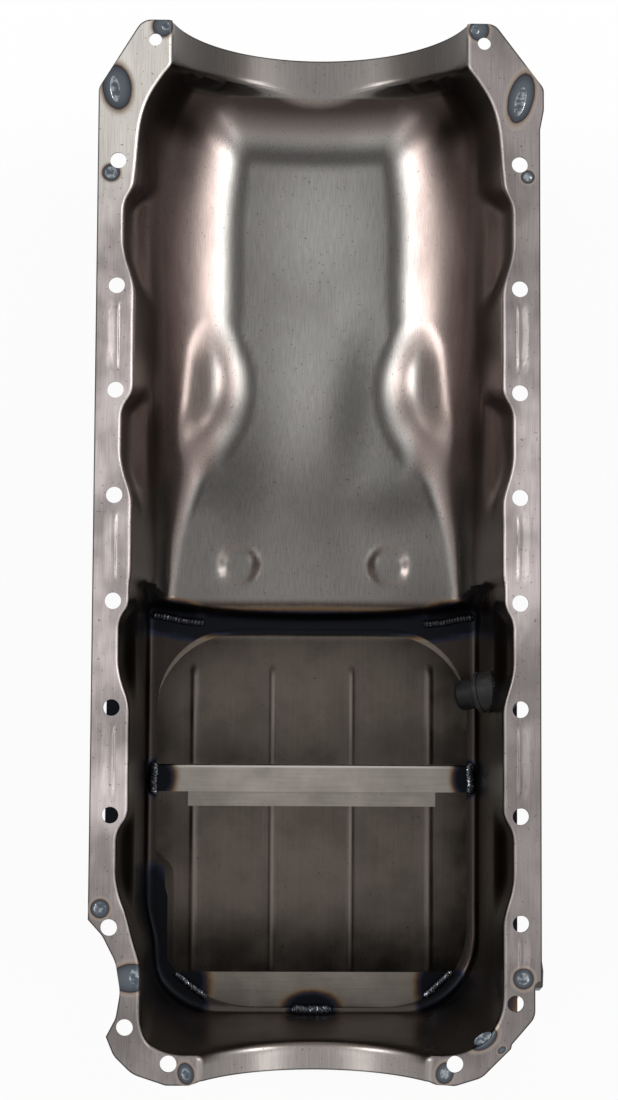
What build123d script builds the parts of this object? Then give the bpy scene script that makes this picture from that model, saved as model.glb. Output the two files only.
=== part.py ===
from build123d import *
import math
import os

# Engine oil pan: a deep-drawn upper pressing with its gasket rail, and a wide fabricated sump
# box welded under it. +X is the pan's right side seen from above, +Y the front of the engine,
# +Z up. The origin is the centre of the rail's bolt pattern, on the gasket plane.

# ------------------------------------------------------------------ driving dimensions, mm
SHEET = 1.6                 # steel sheet of the pressing and of every panel
WELD_LEG = 4.0              # leg of the outside fillet welds
SEAT_GAP = 0.3              # clearance beside pieces that don't touch

# gasket rail
RAIL_HALF = 119.8           # outer edge
RAIL_END_Y = 287.6          # front ends of the rail, beside the seal land
RAIL_INNER = 99.3           # inner edge, top of the well's side walls
BOLT_X = 108.8              # side bolt line
BOLT_PITCH = 56.64          # half of the cylinder spacing
FRONT_ROW_STEP = 68.24      # from the second row to the first
REAR_ROW_RIGHT = 56.36      # from the seventh row to the eighth, right side
REAR_ROW_LEFT = 58.8        # the same on the starter side
RAIL_BOLT_R = 4.4           # clearance for a 5/16 in bolt
FRONT_BOLT_R = 3.55         # clearance for a 1/4 in bolt
FRONT_BOLT = (89.5, 276.7)  # front corner holes
REAR_LEFT_BOLTS = ((-99.9, -252.3), (-76.8, -271.1))
REAR_RIGHT_BOLTS = ((105.9, -239.6), (73.9, -271.1))
BEAD_LENGTH = 37.0          # stiffening beads pressed into the rail
BEAD_WIDTH = 4.8
BEAD_RISE = 1.0
BEAD_X = 109.3
BEAD_SHIFT_Y = 1.5
SHORT_BEAD_LENGTH = 16.0
SHORT_BEAD_Y = -213.5
REAR_EAR_DROP = 2.0         # the rail's rear ears stand this far past the seal land
REAR_EAR_X = (78.0, 98.0)   # where the left ear's arc starts, and its middle
REAR_EAR_MIDDLE_Y = -274.2

# clearance pockets in the side walls, between the bolts
POCKET_OUT = 5.7            # from the side wall to a pocket's outer face
POCKET_PAST_BOLT = 2.5      # how near a pocket's end comes to the bolt row beside it
POCKET_CLEAR_BOLT = 4.5     # the same, where it stops further off
POCKET_FRONT_GAP = 15.0     # from the first bolt row to the first pocket
POCKET_REAR_LENGTH = 48.0
POCKET_RAMP = 7.0           # how far its ends slant along Y
POCKET_WALL = 24.0          # height of its upright wall
POCKET_DEPTH = 40.0         # where its sloped floor meets the side wall
POCKET_FOOT = 90.0
POCKET_R = 3.5

# cylindrical seal lands at the ends
FRONT_LAND_Y = 286.6
FRONT_LAND_R = 82.5
FRONT_LAND_RISE = 18.7      # cylinder axis above the gasket plane
FRONT_LAND_INNER_Y = 264.5
REAR_LAND_Y = -280.2
REAR_LAND_R = 73.4
REAR_LAND_RISE = 42.3
REAR_LAND_INNER_Y = -266.5

# sump well of the pressing
WELL_DEPTH = 100.0          # gasket plane to the lip round the opening
STEP_HEIGHT = 9.5           # from the lip up to the bay floor's rear edge
WELL_DRAFT = 2.8            # how far each side wall leans in by the time it meets the lip
WELL_REAR_DRAFT = 4.0
WELL_FOOT_R = 4.0           # inside radius where wall and lip meet
WELL_TOP_CORNER = 27.0
WELL_FOOT_CORNER = 46.0
STEP_SIDE_Y = -24.0         # rear edge of the bay floor at the sides
STEP_BOW = 7.5              # and how much further back it is in the middle
STEP_RUN = 4.0              # how far the step slopes back on its way down
LIP_WIDTH = 6.0             # from the wall's foot to the opening, at the sides
LIP_FRONT_WIDTH = 12.5
LIP_REAR_WIDTH = 3.0
OPENING_CORNER = 46.0
OPENING_STARTER_CORNER = 56.0
STARTER_X = 91.8            # left wall is drawn in here, beside the starter
STARTER_FRONT_Y = -190.0
STARTER_FULL_Y = -216.0

# raised clearance dents in the shoulders of the front bay
DENT_Y = 103.0
DENT_X = 92.0
DENT_FOOT = (54.0, 50.0)    # half lengths along X and Y at its base, under the bay floor
DENT_TOP = (31.0, 29.0)     # and at its top
DENT_TOP_Z = -72.0
DENT_BASE_Z = -92.0
DENT_R = 7.0
DIMPLE_X = 43.5             # round locating dimples near the bay's rear edge
DIMPLE_Y = -4.0
DIMPLE_MOUTH_R = 13.0
DIMPLE_FLOOR_R = 8.2
DIMPLE_DEPTH = 3.5

# sump box
BOX_HALF = 120.2
BOX_FRONT_SETBACK = 10.0    # front wall behind the foot of the step
BOX_REAR_REACH = 7.5        # rear wall behind the foot of the well's rear wall
BOX_FLOOR_Z = -200.0        # inside face of the floor
BEND_R = 5.0                # inside radius of a folded panel
RING_SHOW = 2.9             # how far the top plate shows behind the pressing's front lip
RING_HIDE = 1.5             # how far it stands back from the lip at the sides and rear
RING_CORNER = 50.0
NOTCH_FRONT_Y = -158.0      # left kick-out stops here, ahead of the starter
NOTCH_BACK_Y = -190.0
NOTCH_X = -86.5
NOTCH_R = 10.0
RING_NOTCH_X = -83.4
NOTCH_COVER_Y = (-178.0, -228.0)    # here the top plate reaches out under the lip
RIB_X0 = 2.0                # centre line of the floor ribs
RIB_SPACING = 49.7
RIB_COUNT = 4
RIB_Y = (-65.5, -253.0)
RIB_WIDTH = 5.0
RIB_RISE = 1.2
RIB_TAPER = 40

# crossbar, slosh baffle and rear shelf
BAR_Y = (-119.5, -135.2)
BAR_REST = 1.8              # how far each end lies on the pressing's lip
BAR_LIP_CLEAR = 2.5         # the folded edge stops this far short of it
STRIP_BEND_R = 2.0
BAR_LIP = 5.0               # front edge folded down
BAFFLE_HALF = 72.0
BAFFLE_REAR_Y = -143.6
BAFFLE_WEB_Y = -131.0
BAFFLE_DROP = 62.0
SHELF_REACH = 20.0          # how far it shows in front of the pressing's rear lip
SHELF_LEFT_X = -84.6
SHELF_RIGHT_X = 86.0
SHELF_REST = 3.5            # how far it goes behind the foot of the well's rear wall

# drain fitting in the right side panel
DRAIN_FROM_REAR = 20.1
DRAIN_Z = -165.0
PLUG_R = 7.0
BUNG_R = 15.0
BUNG_NECK_R = 12.5
BUNG_OUT = 8.0
BUNG_IN = 4.0
WASHER_R = 11.5
WASHER_T = 1.5
PLUG_FLANGE_R = 10.8
PLUG_FLANGE_T = 2.5
PLUG_HEX_AF = 19.0
PLUG_HEX_T = 11.0
PLUG_HEX_CHAMFER = 0.8
PLUG_HEX_TURN = 12.0
PLUG_SHANK = 16.0

# capped port in the right wall
PORT_INSET = 1.3            # its middle lies this far inside the top of the wall
PORT_Y = -75.5
PORT_Z = -50.0
PORT_TILT = 24.0            # the port's axis rises outwards by this angle
PORT_YAW = 10.0
PORT_R = 11.0
PORT_IN = 4.0
PORT_OUT = 10.0
CAP_R = 8.55
CAP_NOSE = 19.0             # how far the cap's nose stands in from the wall
CAP_NOSE_CHAMFER = 3.5
CAP_HEAD_R = 12.0
CAP_HEAD_T = 4.0

# welds big enough to see
BAR_WELD_INSET = 3.0        # over the crossbar's ends, just inside the lip
BAR_WELD = (18.5, 11.0)
BAR_WELD_T = 4.5
SHELF_WELD_INSET = (19.0, 12.0)
SHELF_WELD = (23.0, 8.0)
SHELF_WELD_T = 4.6
SHELF_WELD_TURN = 37.0
SHELF_CENTRE_WELD = (27.0, 13.0)
SHELF_CENTRE_WELD_X = 0.5
SHELF_CENTRE_WELD_T = 5.4
STEP_WELD_INSET = (17.0, 8.2)
STEP_WELD = (34.0, 5.6)
STEP_WELD_T = 3.0
STEP_WELD_TURN = 6.0
KICK_WELD_FRONT_Y = -46.0
KICK_WELD_REAR_Y = -214.0
BUNG_WELD_LEG = 3.2
WELD_PAD_TAPER = 22
WELD_FIT = 0.15             # how near a bead comes to the drafted wall beside it

# ------------------------------------------------------------------ values worked out from them
LIP_Z = -WELL_DEPTH
LIP_UNDER_Z = LIP_Z - SHEET
BAY_REAR_Z = LIP_Z + STEP_HEIGHT
BOX_UNDER_Z = BOX_FLOOR_Z - SHEET
POCKET_HALF = RAIL_INNER + POCKET_OUT
WELL_FOOT = RAIL_INNER - WELL_DRAFT
OPENING_HALF = WELL_FOOT - LIP_WIDTH
RING_HALF = OPENING_HALF + RING_HIDE
STEP_FOOT_Y = STEP_SIDE_Y - STEP_RUN
OPENING_FRONT_Y = STEP_FOOT_Y - LIP_FRONT_WIDTH
RING_FRONT_Y = OPENING_FRONT_Y - RING_SHOW
BOX_FRONT_Y = STEP_FOOT_Y - BOX_FRONT_SETBACK
WELL_REAR_FOOT_Y = REAR_LAND_INNER_Y + WELL_REAR_DRAFT
OPENING_REAR_Y = WELL_REAR_FOOT_Y + LIP_REAR_WIDTH
RING_REAR_Y = OPENING_REAR_Y - RING_HIDE
BOX_REAR_Y = WELL_REAR_FOOT_Y - BOX_REAR_REACH
SHELF_FRONT_Y = OPENING_REAR_Y + SHELF_REACH
SHELF_REAR_Y = WELL_REAR_FOOT_Y - SHELF_REST
DRAIN_Y = BOX_REAR_Y + DRAIN_FROM_REAR
BAR_HALF = OPENING_HALF + BAR_REST
BAR_LIP_HALF = OPENING_HALF - BAR_LIP_CLEAR
PORT_CENTRE = (RAIL_INNER - PORT_INSET, PORT_Y, PORT_Z)
SHELF_WELD_AT = (OPENING_HALF - SHELF_WELD_INSET[0], OPENING_REAR_Y + SHELF_WELD_INSET[1])
STEP_WELD_AT = (WELL_FOOT - STEP_WELD_INSET[0], STEP_FOOT_Y - STEP_WELD_INSET[1])
REAR_EAR_Y = REAR_LAND_Y - REAR_EAR_DROP
ROW_2_Y = 2.5 * BOLT_PITCH
ROW_1_Y = ROW_2_Y + FRONT_ROW_STEP
ROW_7_Y = -ROW_2_Y
FRONT_BEND_X = math.sqrt(FRONT_LAND_R ** 2 - FRONT_LAND_RISE ** 2)
REAR_BEND_X = math.sqrt(REAR_LAND_R ** 2 - REAR_LAND_RISE ** 2)
DRAIN_BORE_R = PLUG_R + SEAT_GAP
PORT_BORE_R = CAP_R + SEAT_GAP
PANEL_TOP_Z = LIP_UNDER_Z - SHEET
OVER = 5.0                  # how far cutting forms stand past what they cut
STARTER_NOTCH = (           # the rail is cut back in two arcs round the starter
    (-119.8, -196.3),
    (-107.2, -213.5),
    (-102.9, -233.0),
    (-104.4, -245.5),
    (-109.6, -257.0),
)
POCKETS = (
    # front and rear ends along Y
    (ROW_1_Y - POCKET_FRONT_GAP, ROW_2_Y + POCKET_CLEAR_BOLT),
    (1.5 * BOLT_PITCH - POCKET_PAST_BOLT, 0.5 * BOLT_PITCH + POCKET_PAST_BOLT),
    (-0.5 * BOLT_PITCH - POCKET_PAST_BOLT, -1.5 * BOLT_PITCH + POCKET_CLEAR_BOLT),
    (ROW_7_Y - POCKET_PAST_BOLT, ROW_7_Y - POCKET_PAST_BOLT - POCKET_REAR_LENGTH),
)


# ------------------------------------------------------------------ forms of the drawn pressing
# Each form is the hollow when grow is 0, and the outside of the sheet when grow is SHEET.

BAY_STATIONS = (
    # y, wall top, wall at floor level, shoulder foot, floor's rise, shoulder slope, corner radii
    (STEP_SIDE_Y - STEP_BOW - OVER, RAIL_INNER, 88.0, 86.0, 0.0, 62, (4, 5)),
    (0.0, RAIL_INNER, 88.0, 82.0, 1.5, 56, (6, 14)),
    (60.0, RAIL_INNER, 87.0, 68.0, 4.0, 44, (8, 20)),
    (130.0, RAIL_INNER, 86.0, 56.0, 7.0, 41, (10, 24)),
    (205.0, RAIL_INNER, 86.0, 54.0, 9.5, 41, (10, 24)),
    (246.0, 92.0, 81.0, 46.0, 12.5, 42, (12, 24)),
    (FRONT_LAND_INNER_Y, 80.0, 74.0, 34.0, 28.0, 44, (12, 24)),
)


def bay_station(y, wall_top, wall_foot, foot, floor_rise, slope, radii, grow):
    """Cross-section of the front bay at y: drafted walls, sloped shoulders, flat floor."""
    floor_z = BAY_REAR_Z + floor_rise
    tangent = math.tan(math.radians(slope))
    draft = (wall_foot - wall_top) / floor_z
    floor = floor_z - grow
    foot_x = foot + grow * math.tan(math.radians(slope / 2))
    top_x = wall_top + grow
    shoulder_x = (top_x + draft * (floor - foot_x * tangent)) / (1 - draft * tangent)
    shoulder_z = floor + (shoulder_x - foot_x) * tangent
    rise = OVER if grow == 0 else 0
    lip_x = top_x + draft * rise
    right = [(lip_x, rise), (shoulder_x, shoulder_z), (foot_x, floor)]
    left = [(-x, z) for x, z in reversed(right)]
    with BuildSketch(Plane.XZ.offset(-y)) as station:
        with BuildLine():
            Polyline(*right, *left, close=True)
        make_face()
        corners = station.vertices().sort_by(Axis.Y)
        fillet(corners[0:2], radii[1] + grow)
        fillet(corners[2:4], radii[0] + grow)
    return station.sketch


def bay_form(grow):
    """The shallow front bay, lofted through its cross-sections."""
    sections = [bay_station(*station, grow) for station in BAY_STATIONS]
    with BuildPart() as form:
        loft(sections=sections)
    return form.part


def well_plan(z, half, front_y, rear_y, corner):
    """Plan outline of the sump well at height z, its front edge bowed backwards."""
    with BuildSketch(Plane.XY.offset(z)) as plan:
        with BuildLine():
            ThreePointArc((-half, front_y), (0, front_y - STEP_BOW), (half, front_y))
            FilletPolyline(
                (half, front_y), (half, rear_y), (-half, rear_y), (-half, front_y), radius=corner
            )
        make_face()
    return plan.sketch


def well_form(grow):
    """The deep well over the sump: nearly upright walls, and a step down from the bay."""
    top_front_y = STEP_FOOT_Y + STEP_RUN / STEP_HEIGHT * WELL_DEPTH
    top = well_plan(
        0, RAIL_INNER + grow, top_front_y + grow, REAR_LAND_INNER_Y - grow, WELL_TOP_CORNER + grow
    )
    rear_y, corner = WELL_REAR_FOOT_Y - grow, WELL_FOOT_CORNER + grow
    foot = well_plan(LIP_Z - grow, WELL_FOOT + grow, STEP_FOOT_Y + grow, rear_y, corner)
    with BuildPart() as form:
        loft(sections=[top, foot], ruled=True)
        fillet(form.edges().group_by(Axis.Z)[0], WELL_FOOT_R + grow)
        if grow == 0:
            extrude(top, amount=OVER)
        with BuildSketch(Plane.XY.offset(LIP_Z - grow - OVER)):
            with BuildLine():
                Polyline(
                    (-RAIL_HALF, STARTER_FRONT_Y),
                    (-RAIL_INNER - grow - OVER, STARTER_FRONT_Y - grow),
                    (-STARTER_X - grow, STARTER_FULL_Y - grow),
                    (-STARTER_X - grow, REAR_LAND_Y),
                    (-RAIL_HALF, REAR_LAND_Y),
                    close=True,
                )
            make_face()
        extrude(amount=WELL_DEPTH + grow + 3 * OVER, mode=Mode.SUBTRACT)
    return form.part


def pocket_form(side, front_y, rear_y, grow):
    """One clearance pocket: upright wall, slanted ends, and a floor sloping in to the side wall."""
    rise = OVER if grow == 0 else 0
    base, out = RAIL_INNER + grow, POCKET_HALF + grow
    with BuildPart() as form:
        with BuildSketch(Plane.XY.offset(rise)):
            with BuildLine():
                Polyline(
                    (side * POCKET_FOOT, front_y + grow),
                    (side * base, front_y + grow),
                    (side * out, front_y + grow - POCKET_RAMP),
                    (side * out, rear_y - grow + POCKET_RAMP),
                    (side * base, rear_y - grow),
                    (side * POCKET_FOOT, rear_y - grow),
                    close=True,
                )
            make_face()
        extrude(amount=-POCKET_DEPTH - rise - grow)
        with BuildSketch(Plane.XZ.offset(-front_y - 2 * OVER)):
            with BuildLine():
                Polyline(
                    (side * POCKET_FOOT, rise),
                    (side * out, rise),
                    (side * out, -POCKET_WALL - grow),
                    (side * POCKET_FOOT, -POCKET_DEPTH - grow),
                    close=True,
                )
            make_face()
        extrude(amount=front_y - rear_y + 4 * OVER, mode=Mode.INTERSECT)
        upright = form.edges().filter_by(Axis.Z).sort_by(Axis.X)
        fillet(upright[-2:] if side > 0 else upright[:2], POCKET_R + grow)
    return form.part


def land_form(radius, rise, outer_y, inner_y, grow):
    """Half-round trough of an end seal land, from its outer edge inwards."""
    length = abs(outer_y - inner_y)
    front = max(outer_y, inner_y)
    with BuildPart() as form:
        with BuildSketch(Plane.XZ.offset(-front)):
            with Locations((0, rise)):
                Circle(radius + grow)
            with Locations((0, -radius)):
                Rectangle(4 * radius, 2 * radius + (2 * OVER if grow == 0 else 0), mode=Mode.INTERSECT)
        extrude(amount=length)
    return form.part


def dent_form(side, grow):
    """One raised dent, as the solid that it takes out of the bay's hollow."""
    foot_a, foot_b = (half - grow for half in DENT_FOOT)
    top_a, top_b = (half - grow for half in DENT_TOP)
    with BuildPart() as form:
        with BuildSketch(Plane.XY.offset(DENT_BASE_Z - grow)):
            with Locations((side * DENT_X, DENT_Y)):
                Ellipse(foot_a, foot_b)
        with BuildSketch(Plane.XY.offset(DENT_TOP_Z - grow)):
            with Locations((side * DENT_X, DENT_Y)):
                Ellipse(top_a, top_b)
        loft(ruled=True)
        fillet(form.edges().group_by(Axis.Z)[-1], DENT_R - grow)
    return form.part


def drawn_form(grow):
    """Everything the press draws: bay, well, pockets, dents, dimples and seal lands."""
    with BuildPart() as form:
        add(bay_form(grow))
        for side in (-1, 1):
            add(dent_form(side, grow), mode=Mode.SUBTRACT)
        add(well_form(grow))
        for side in (-1, 1):
            for front_y, rear_y in POCKETS:
                add(pocket_form(side, front_y, rear_y, grow))
        past = OVER if grow == 0 else 0
        front_y, rear_y = FRONT_LAND_Y + past, REAR_LAND_Y - past
        add(land_form(FRONT_LAND_R, FRONT_LAND_RISE, front_y, FRONT_LAND_INNER_Y - 2 * OVER, grow))
        add(land_form(REAR_LAND_R, REAR_LAND_RISE, rear_y, REAR_LAND_INNER_Y + OVER, grow))
    return form.part


# ------------------------------------------------------------------ the upper pressing

def rail_face():
    """Plan outline of the gasket rail, with the starter notch at the rear left."""
    with BuildSketch() as outline:
        with BuildLine():
            FilletPolyline(
                (-RAIL_HALF, STARTER_NOTCH[0][1]),
                (-RAIL_HALF, 249.5),
                (-96.5, RAIL_END_Y),
                (-82.0, RAIL_END_Y),
                (-FRONT_BEND_X, FRONT_LAND_Y),
                (FRONT_BEND_X, FRONT_LAND_Y),
                (82.0, RAIL_END_Y),
                (95.0, RAIL_END_Y),
                (121.9, 252.0),
                (121.9, 240.0),
                (RAIL_HALF, 229.0),
                (RAIL_HALF, -228.0),
                (116.3, -229.5),
                (116.3, -246.5),
                (104.0, -260.6),
                (103.4, -263.0),
                (88.0, -278.0),
                (74.0, REAR_EAR_Y),
                (64.0, -281.6),
                (REAR_BEND_X, REAR_LAND_Y),
                (-REAR_BEND_X, REAR_LAND_Y),
                (-66.0, REAR_EAR_Y),
                (-REAR_EAR_X[0], REAR_EAR_Y),
                radius=[7, 9, 2, 0.5, 0.5, 2, 9, 8, 6, 6, 0.6, 0.6, 9, 0.6, 0.6, 12, 7, 1, 0.5, 0.5, 2],
            )
            ThreePointArc(
                (-REAR_EAR_X[0], REAR_EAR_Y), (-REAR_EAR_X[1], REAR_EAR_MIDDLE_Y), STARTER_NOTCH[-1]
            )
            ThreePointArc(STARTER_NOTCH[4], STARTER_NOTCH[3], STARTER_NOTCH[2])
            ThreePointArc(STARTER_NOTCH[2], STARTER_NOTCH[1], STARTER_NOTCH[0])
        make_face()
    return outline.sketch


rail_bolts = []
for side in (-1, 1):
    rear_step = REAR_ROW_LEFT if side < 0 else REAR_ROW_RIGHT
    rows = [ROW_1_Y] + [ROW_2_Y - row * BOLT_PITCH for row in range(6)] + [ROW_7_Y - rear_step]
    rail_bolts += [(side * BOLT_X, y) for y in rows]
rail_bolts += [*REAR_LEFT_BOLTS, *REAR_RIGHT_BOLTS]
front_bolts = [(side * FRONT_BOLT[0], FRONT_BOLT[1]) for side in (-1, 1)]

long_beads = [
    (side * BEAD_X, row * 2 * BOLT_PITCH + BEAD_SHIFT_Y) for side in (-1, 1) for row in (-1, 0, 1)
]
short_beads = [(BEAD_X, SHORT_BEAD_Y)]

port_tilt, port_yaw = math.radians(PORT_TILT), math.radians(PORT_YAW)
port_axis = Vector(
    math.cos(port_tilt) * math.cos(port_yaw), math.cos(port_tilt) * math.sin(port_yaw), math.sin(port_tilt)
)
port_plane = Plane(origin=PORT_CENTRE, z_dir=port_axis)

with BuildPart() as upper_pressing:
    add(rail_face())
    extrude(amount=-SHEET)
    add(drawn_form(SHEET))
    add(drawn_form(0), mode=Mode.SUBTRACT)
    # the opening into the sump, its rear left corner wider beside the starter
    with BuildSketch(Plane.XY.offset(LIP_Z + OVER)):
        with BuildLine():
            FilletPolyline(
                (OPENING_HALF, OPENING_FRONT_Y),
                (OPENING_HALF, OPENING_REAR_Y),
                (-OPENING_HALF, OPENING_REAR_Y),
                (-OPENING_HALF, OPENING_FRONT_Y),
                radius=[OPENING_CORNER, OPENING_CORNER, OPENING_STARTER_CORNER, OPENING_CORNER],
                close=True,
            )
        make_face()
    extrude(amount=-3 * OVER, mode=Mode.SUBTRACT)
    # locating dimples, pressed down into the bay floor
    for side in (-1, 1):
        dimple_z = BAY_REAR_Z + BAY_STATIONS[1][4]
        with BuildSketch(Plane.XY.offset(dimple_z - SHEET)):
            with Locations((side * DIMPLE_X, DIMPLE_Y)):
                Circle(DIMPLE_MOUTH_R + SHEET / 2)
        with BuildSketch(Plane.XY.offset(dimple_z - DIMPLE_DEPTH - SHEET)):
            with Locations((side * DIMPLE_X, DIMPLE_Y)):
                Circle(DIMPLE_FLOOR_R + SHEET / 2)
        loft(ruled=True)
        with BuildSketch(Plane.XY.offset(dimple_z + SHEET / 2)):
            with Locations((side * DIMPLE_X, DIMPLE_Y)):
                Circle(DIMPLE_MOUTH_R)
        with BuildSketch(Plane.XY.offset(dimple_z - DIMPLE_DEPTH)):
            with Locations((side * DIMPLE_X, DIMPLE_Y)):
                Circle(DIMPLE_FLOOR_R)
        loft(ruled=True, mode=Mode.SUBTRACT)
    # stiffening beads on the rail, hollow underneath
    for length, places in ((BEAD_LENGTH, long_beads), (SHORT_BEAD_LENGTH, short_beads)):
        with BuildSketch(Plane.XY):
            with Locations(*places):
                SlotOverall(length, BEAD_WIDTH, rotation=90)
        extrude(amount=BEAD_RISE)
        with BuildSketch(Plane.XY.offset(-SHEET)):
            with Locations(*places):
                SlotOverall(length - SHEET * 1.5, BEAD_WIDTH - SHEET * 1.5, rotation=90)
        extrude(amount=BEAD_RISE, mode=Mode.SUBTRACT)
    # bolt holes
    with BuildSketch(Plane.XY.offset(OVER)):
        with Locations(*rail_bolts):
            Circle(RAIL_BOLT_R)
        with Locations(*front_bolts):
            Circle(FRONT_BOLT_R)
    extrude(amount=-3 * OVER, mode=Mode.SUBTRACT)
    # hole for the capped port
    with BuildSketch(port_plane):
        Circle(PORT_R + SEAT_GAP / 2)
    extrude(amount=4 * OVER, both=True, mode=Mode.SUBTRACT)
upper_pressing.part.label = "upper_pressing"


# ------------------------------------------------------------------ the sump box

def box_plan(inset, reach=0.0):
    """Plan of the sump box, inset by a sheet or not; reach lengthens it past both ends."""
    with BuildSketch() as plan:
        with BuildLine():
            FilletPolyline(
                (BOX_HALF, BOX_FRONT_Y + reach),
                (BOX_HALF, BOX_REAR_Y - reach),
                (NOTCH_X, BOX_REAR_Y - reach),
                (NOTCH_X, NOTCH_BACK_Y),
                (-BOX_HALF, NOTCH_FRONT_Y),
                (-BOX_HALF, BOX_FRONT_Y + reach),
                radius=[0, 0, 0, NOTCH_R, NOTCH_R, 0],
                close=True,
            )
        make_face()
        if inset:
            offset(amount=-inset, kind=Kind.INTERSECTION, mode=Mode.REPLACE)
    return plan.sketch


with BuildPart() as top_plate:
    with BuildSketch(Plane.XY.offset(PANEL_TOP_Z)):
        add(box_plan(0))
        with BuildSketch(mode=Mode.SUBTRACT):
            ring_centre_y = (RING_FRONT_Y + RING_REAR_Y) / 2
            with Locations((0, ring_centre_y)):
                RectangleRounded(2 * RING_HALF, RING_FRONT_Y - RING_REAR_Y, RING_CORNER)
            with BuildLine():
                Polyline(
                    (-BOX_HALF, NOTCH_FRONT_Y + 8),
                    (-RING_HALF, NOTCH_FRONT_Y - 10),
                    (RING_NOTCH_X, NOTCH_BACK_Y - 6),
                    (RING_NOTCH_X, BOX_REAR_Y),
                    (-BOX_HALF, BOX_REAR_Y),
                    close=True,
                )
            make_face(mode=Mode.SUBTRACT)
        # beside the starter it reaches out past the box, to close the gap under the lip
        with BuildLine():
            Polyline(
                (RING_NOTCH_X - SHEET, NOTCH_COVER_Y[0]),
                (-STARTER_X - SHEET, NOTCH_COVER_Y[0]),
                (-STARTER_X - SHEET, NOTCH_COVER_Y[1]),
                (NOTCH_X - SHEET, NOTCH_COVER_Y[1] - 2 * OVER),
                (RING_NOTCH_X - SHEET, NOTCH_COVER_Y[1] - 2 * OVER),
                close=True,
            )
        make_face()
    extrude(amount=SHEET)
top_plate.part.label = "top_plate"

# front wall, floor and rear wall are one folded sheet, with beads along the floor
with BuildPart() as floor_wrap:
    with BuildSketch(Plane.YZ) as section:
        centre = ((BOX_FRONT_Y + BOX_REAR_Y) / 2, (PANEL_TOP_Z + BOX_UNDER_Z) / 2)
        with Locations(centre):
            Rectangle(BOX_FRONT_Y - BOX_REAR_Y, PANEL_TOP_Z - BOX_UNDER_Z)
        fillet(section.vertices().group_by(Axis.Y)[0], BEND_R + SHEET)
        with BuildSketch(mode=Mode.SUBTRACT) as inner:
            with Locations((centre[0], centre[1] + SHEET)):
                Rectangle(BOX_FRONT_Y - BOX_REAR_Y - 2 * SHEET, PANEL_TOP_Z - BOX_UNDER_Z)
            fillet(inner.vertices().group_by(Axis.Y)[0], BEND_R)
    extrude(amount=BOX_HALF - SHEET, both=True)
    rib_x = [RIB_X0 + (index - (RIB_COUNT - 1) / 2) * RIB_SPACING for index in range(RIB_COUNT)]
    rib_y = (RIB_Y[0] + RIB_Y[1]) / 2
    for grow, level, mode in ((SHEET / 2, BOX_FLOOR_Z, Mode.ADD), (-SHEET / 2, BOX_UNDER_Z, Mode.SUBTRACT)):
        with BuildSketch(Plane.XY.offset(level)):
            with Locations(*[(x, rib_y) for x in rib_x]):
                SlotOverall(RIB_Y[0] - RIB_Y[1] + 2 * grow, RIB_WIDTH + 2 * grow, rotation=90)
        extrude(amount=RIB_RISE, taper=RIB_TAPER, mode=mode)
    with BuildSketch(Plane.XY.offset(BOX_UNDER_Z - OVER)):
        add(box_plan(SHEET, reach=2 * OVER))
    extrude(amount=PANEL_TOP_Z - BOX_UNDER_Z + 2 * OVER, mode=Mode.INTERSECT)
floor_wrap.part.label = "floor_wrap"

side_panels = {}
for side, name in ((1, "right_panel"), (-1, "left_panel")):
    with BuildPart() as side_panel:
        with BuildSketch(Plane.XY.offset(BOX_UNDER_Z)):
            add(box_plan(0, reach=2 * OVER))
            add(box_plan(SHEET, reach=2 * OVER), mode=Mode.SUBTRACT)
            with Locations((side * BOX_HALF / 2, (BOX_FRONT_Y + BOX_REAR_Y) / 2)):
                Rectangle(BOX_HALF, BOX_FRONT_Y - BOX_REAR_Y, mode=Mode.INTERSECT)
        extrude(amount=PANEL_TOP_Z - BOX_UNDER_Z)
        if side > 0:
            with BuildSketch(Plane.YZ.offset(BOX_HALF + OVER)):
                with Locations((DRAIN_Y, DRAIN_Z)):
                    Circle(BUNG_NECK_R + SEAT_GAP / 2)
            extrude(amount=-3 * OVER, mode=Mode.SUBTRACT)
    side_panel.part.label = name
    side_panels[name] = side_panel.part


# ------------------------------------------------------------------ inside: crossbar, baffle, shelf

def folded_strip(name, half, corner, edge, drop, top_z):
    """A strip running across the pan, flat from edge to corner in Y, then folded straight down."""
    direction = 1 if corner > edge else -1
    with BuildPart() as strip:
        with BuildSketch(Plane.YZ) as section:
            with BuildLine():
                Polyline(
                    (edge, top_z),
                    (corner, top_z),
                    (corner, top_z - drop),
                    (corner - direction * SHEET, top_z - drop),
                    (corner - direction * SHEET, top_z - SHEET),
                    (edge, top_z - SHEET),
                    close=True,
                )
            make_face()
            fillet(section.vertices().sort_by_distance((corner, top_z))[0], STRIP_BEND_R)
        extrude(amount=half, both=True)
    strip.part.label = name
    return strip


folded_bar = folded_strip("folded_bar", BAR_HALF, BAR_Y[0], BAR_Y[1], BAR_LIP, LIP_Z + SHEET)
with BuildPart() as crossbar:
    add(folded_bar.part)
    # the folded edge stops short of the lip that the bar's ends rest on
    for side in (-1, 1):
        with Locations((side * (BAR_LIP_HALF + OVER), BAR_Y[0], LIP_Z - OVER)):
            Box(2 * OVER, 2 * OVER, 2 * OVER, mode=Mode.SUBTRACT)
crossbar.part.label = "crossbar"
slosh_baffle = folded_strip("slosh_baffle", BAFFLE_HALF, BAFFLE_WEB_Y, BAFFLE_REAR_Y, BAFFLE_DROP, LIP_Z)

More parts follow.
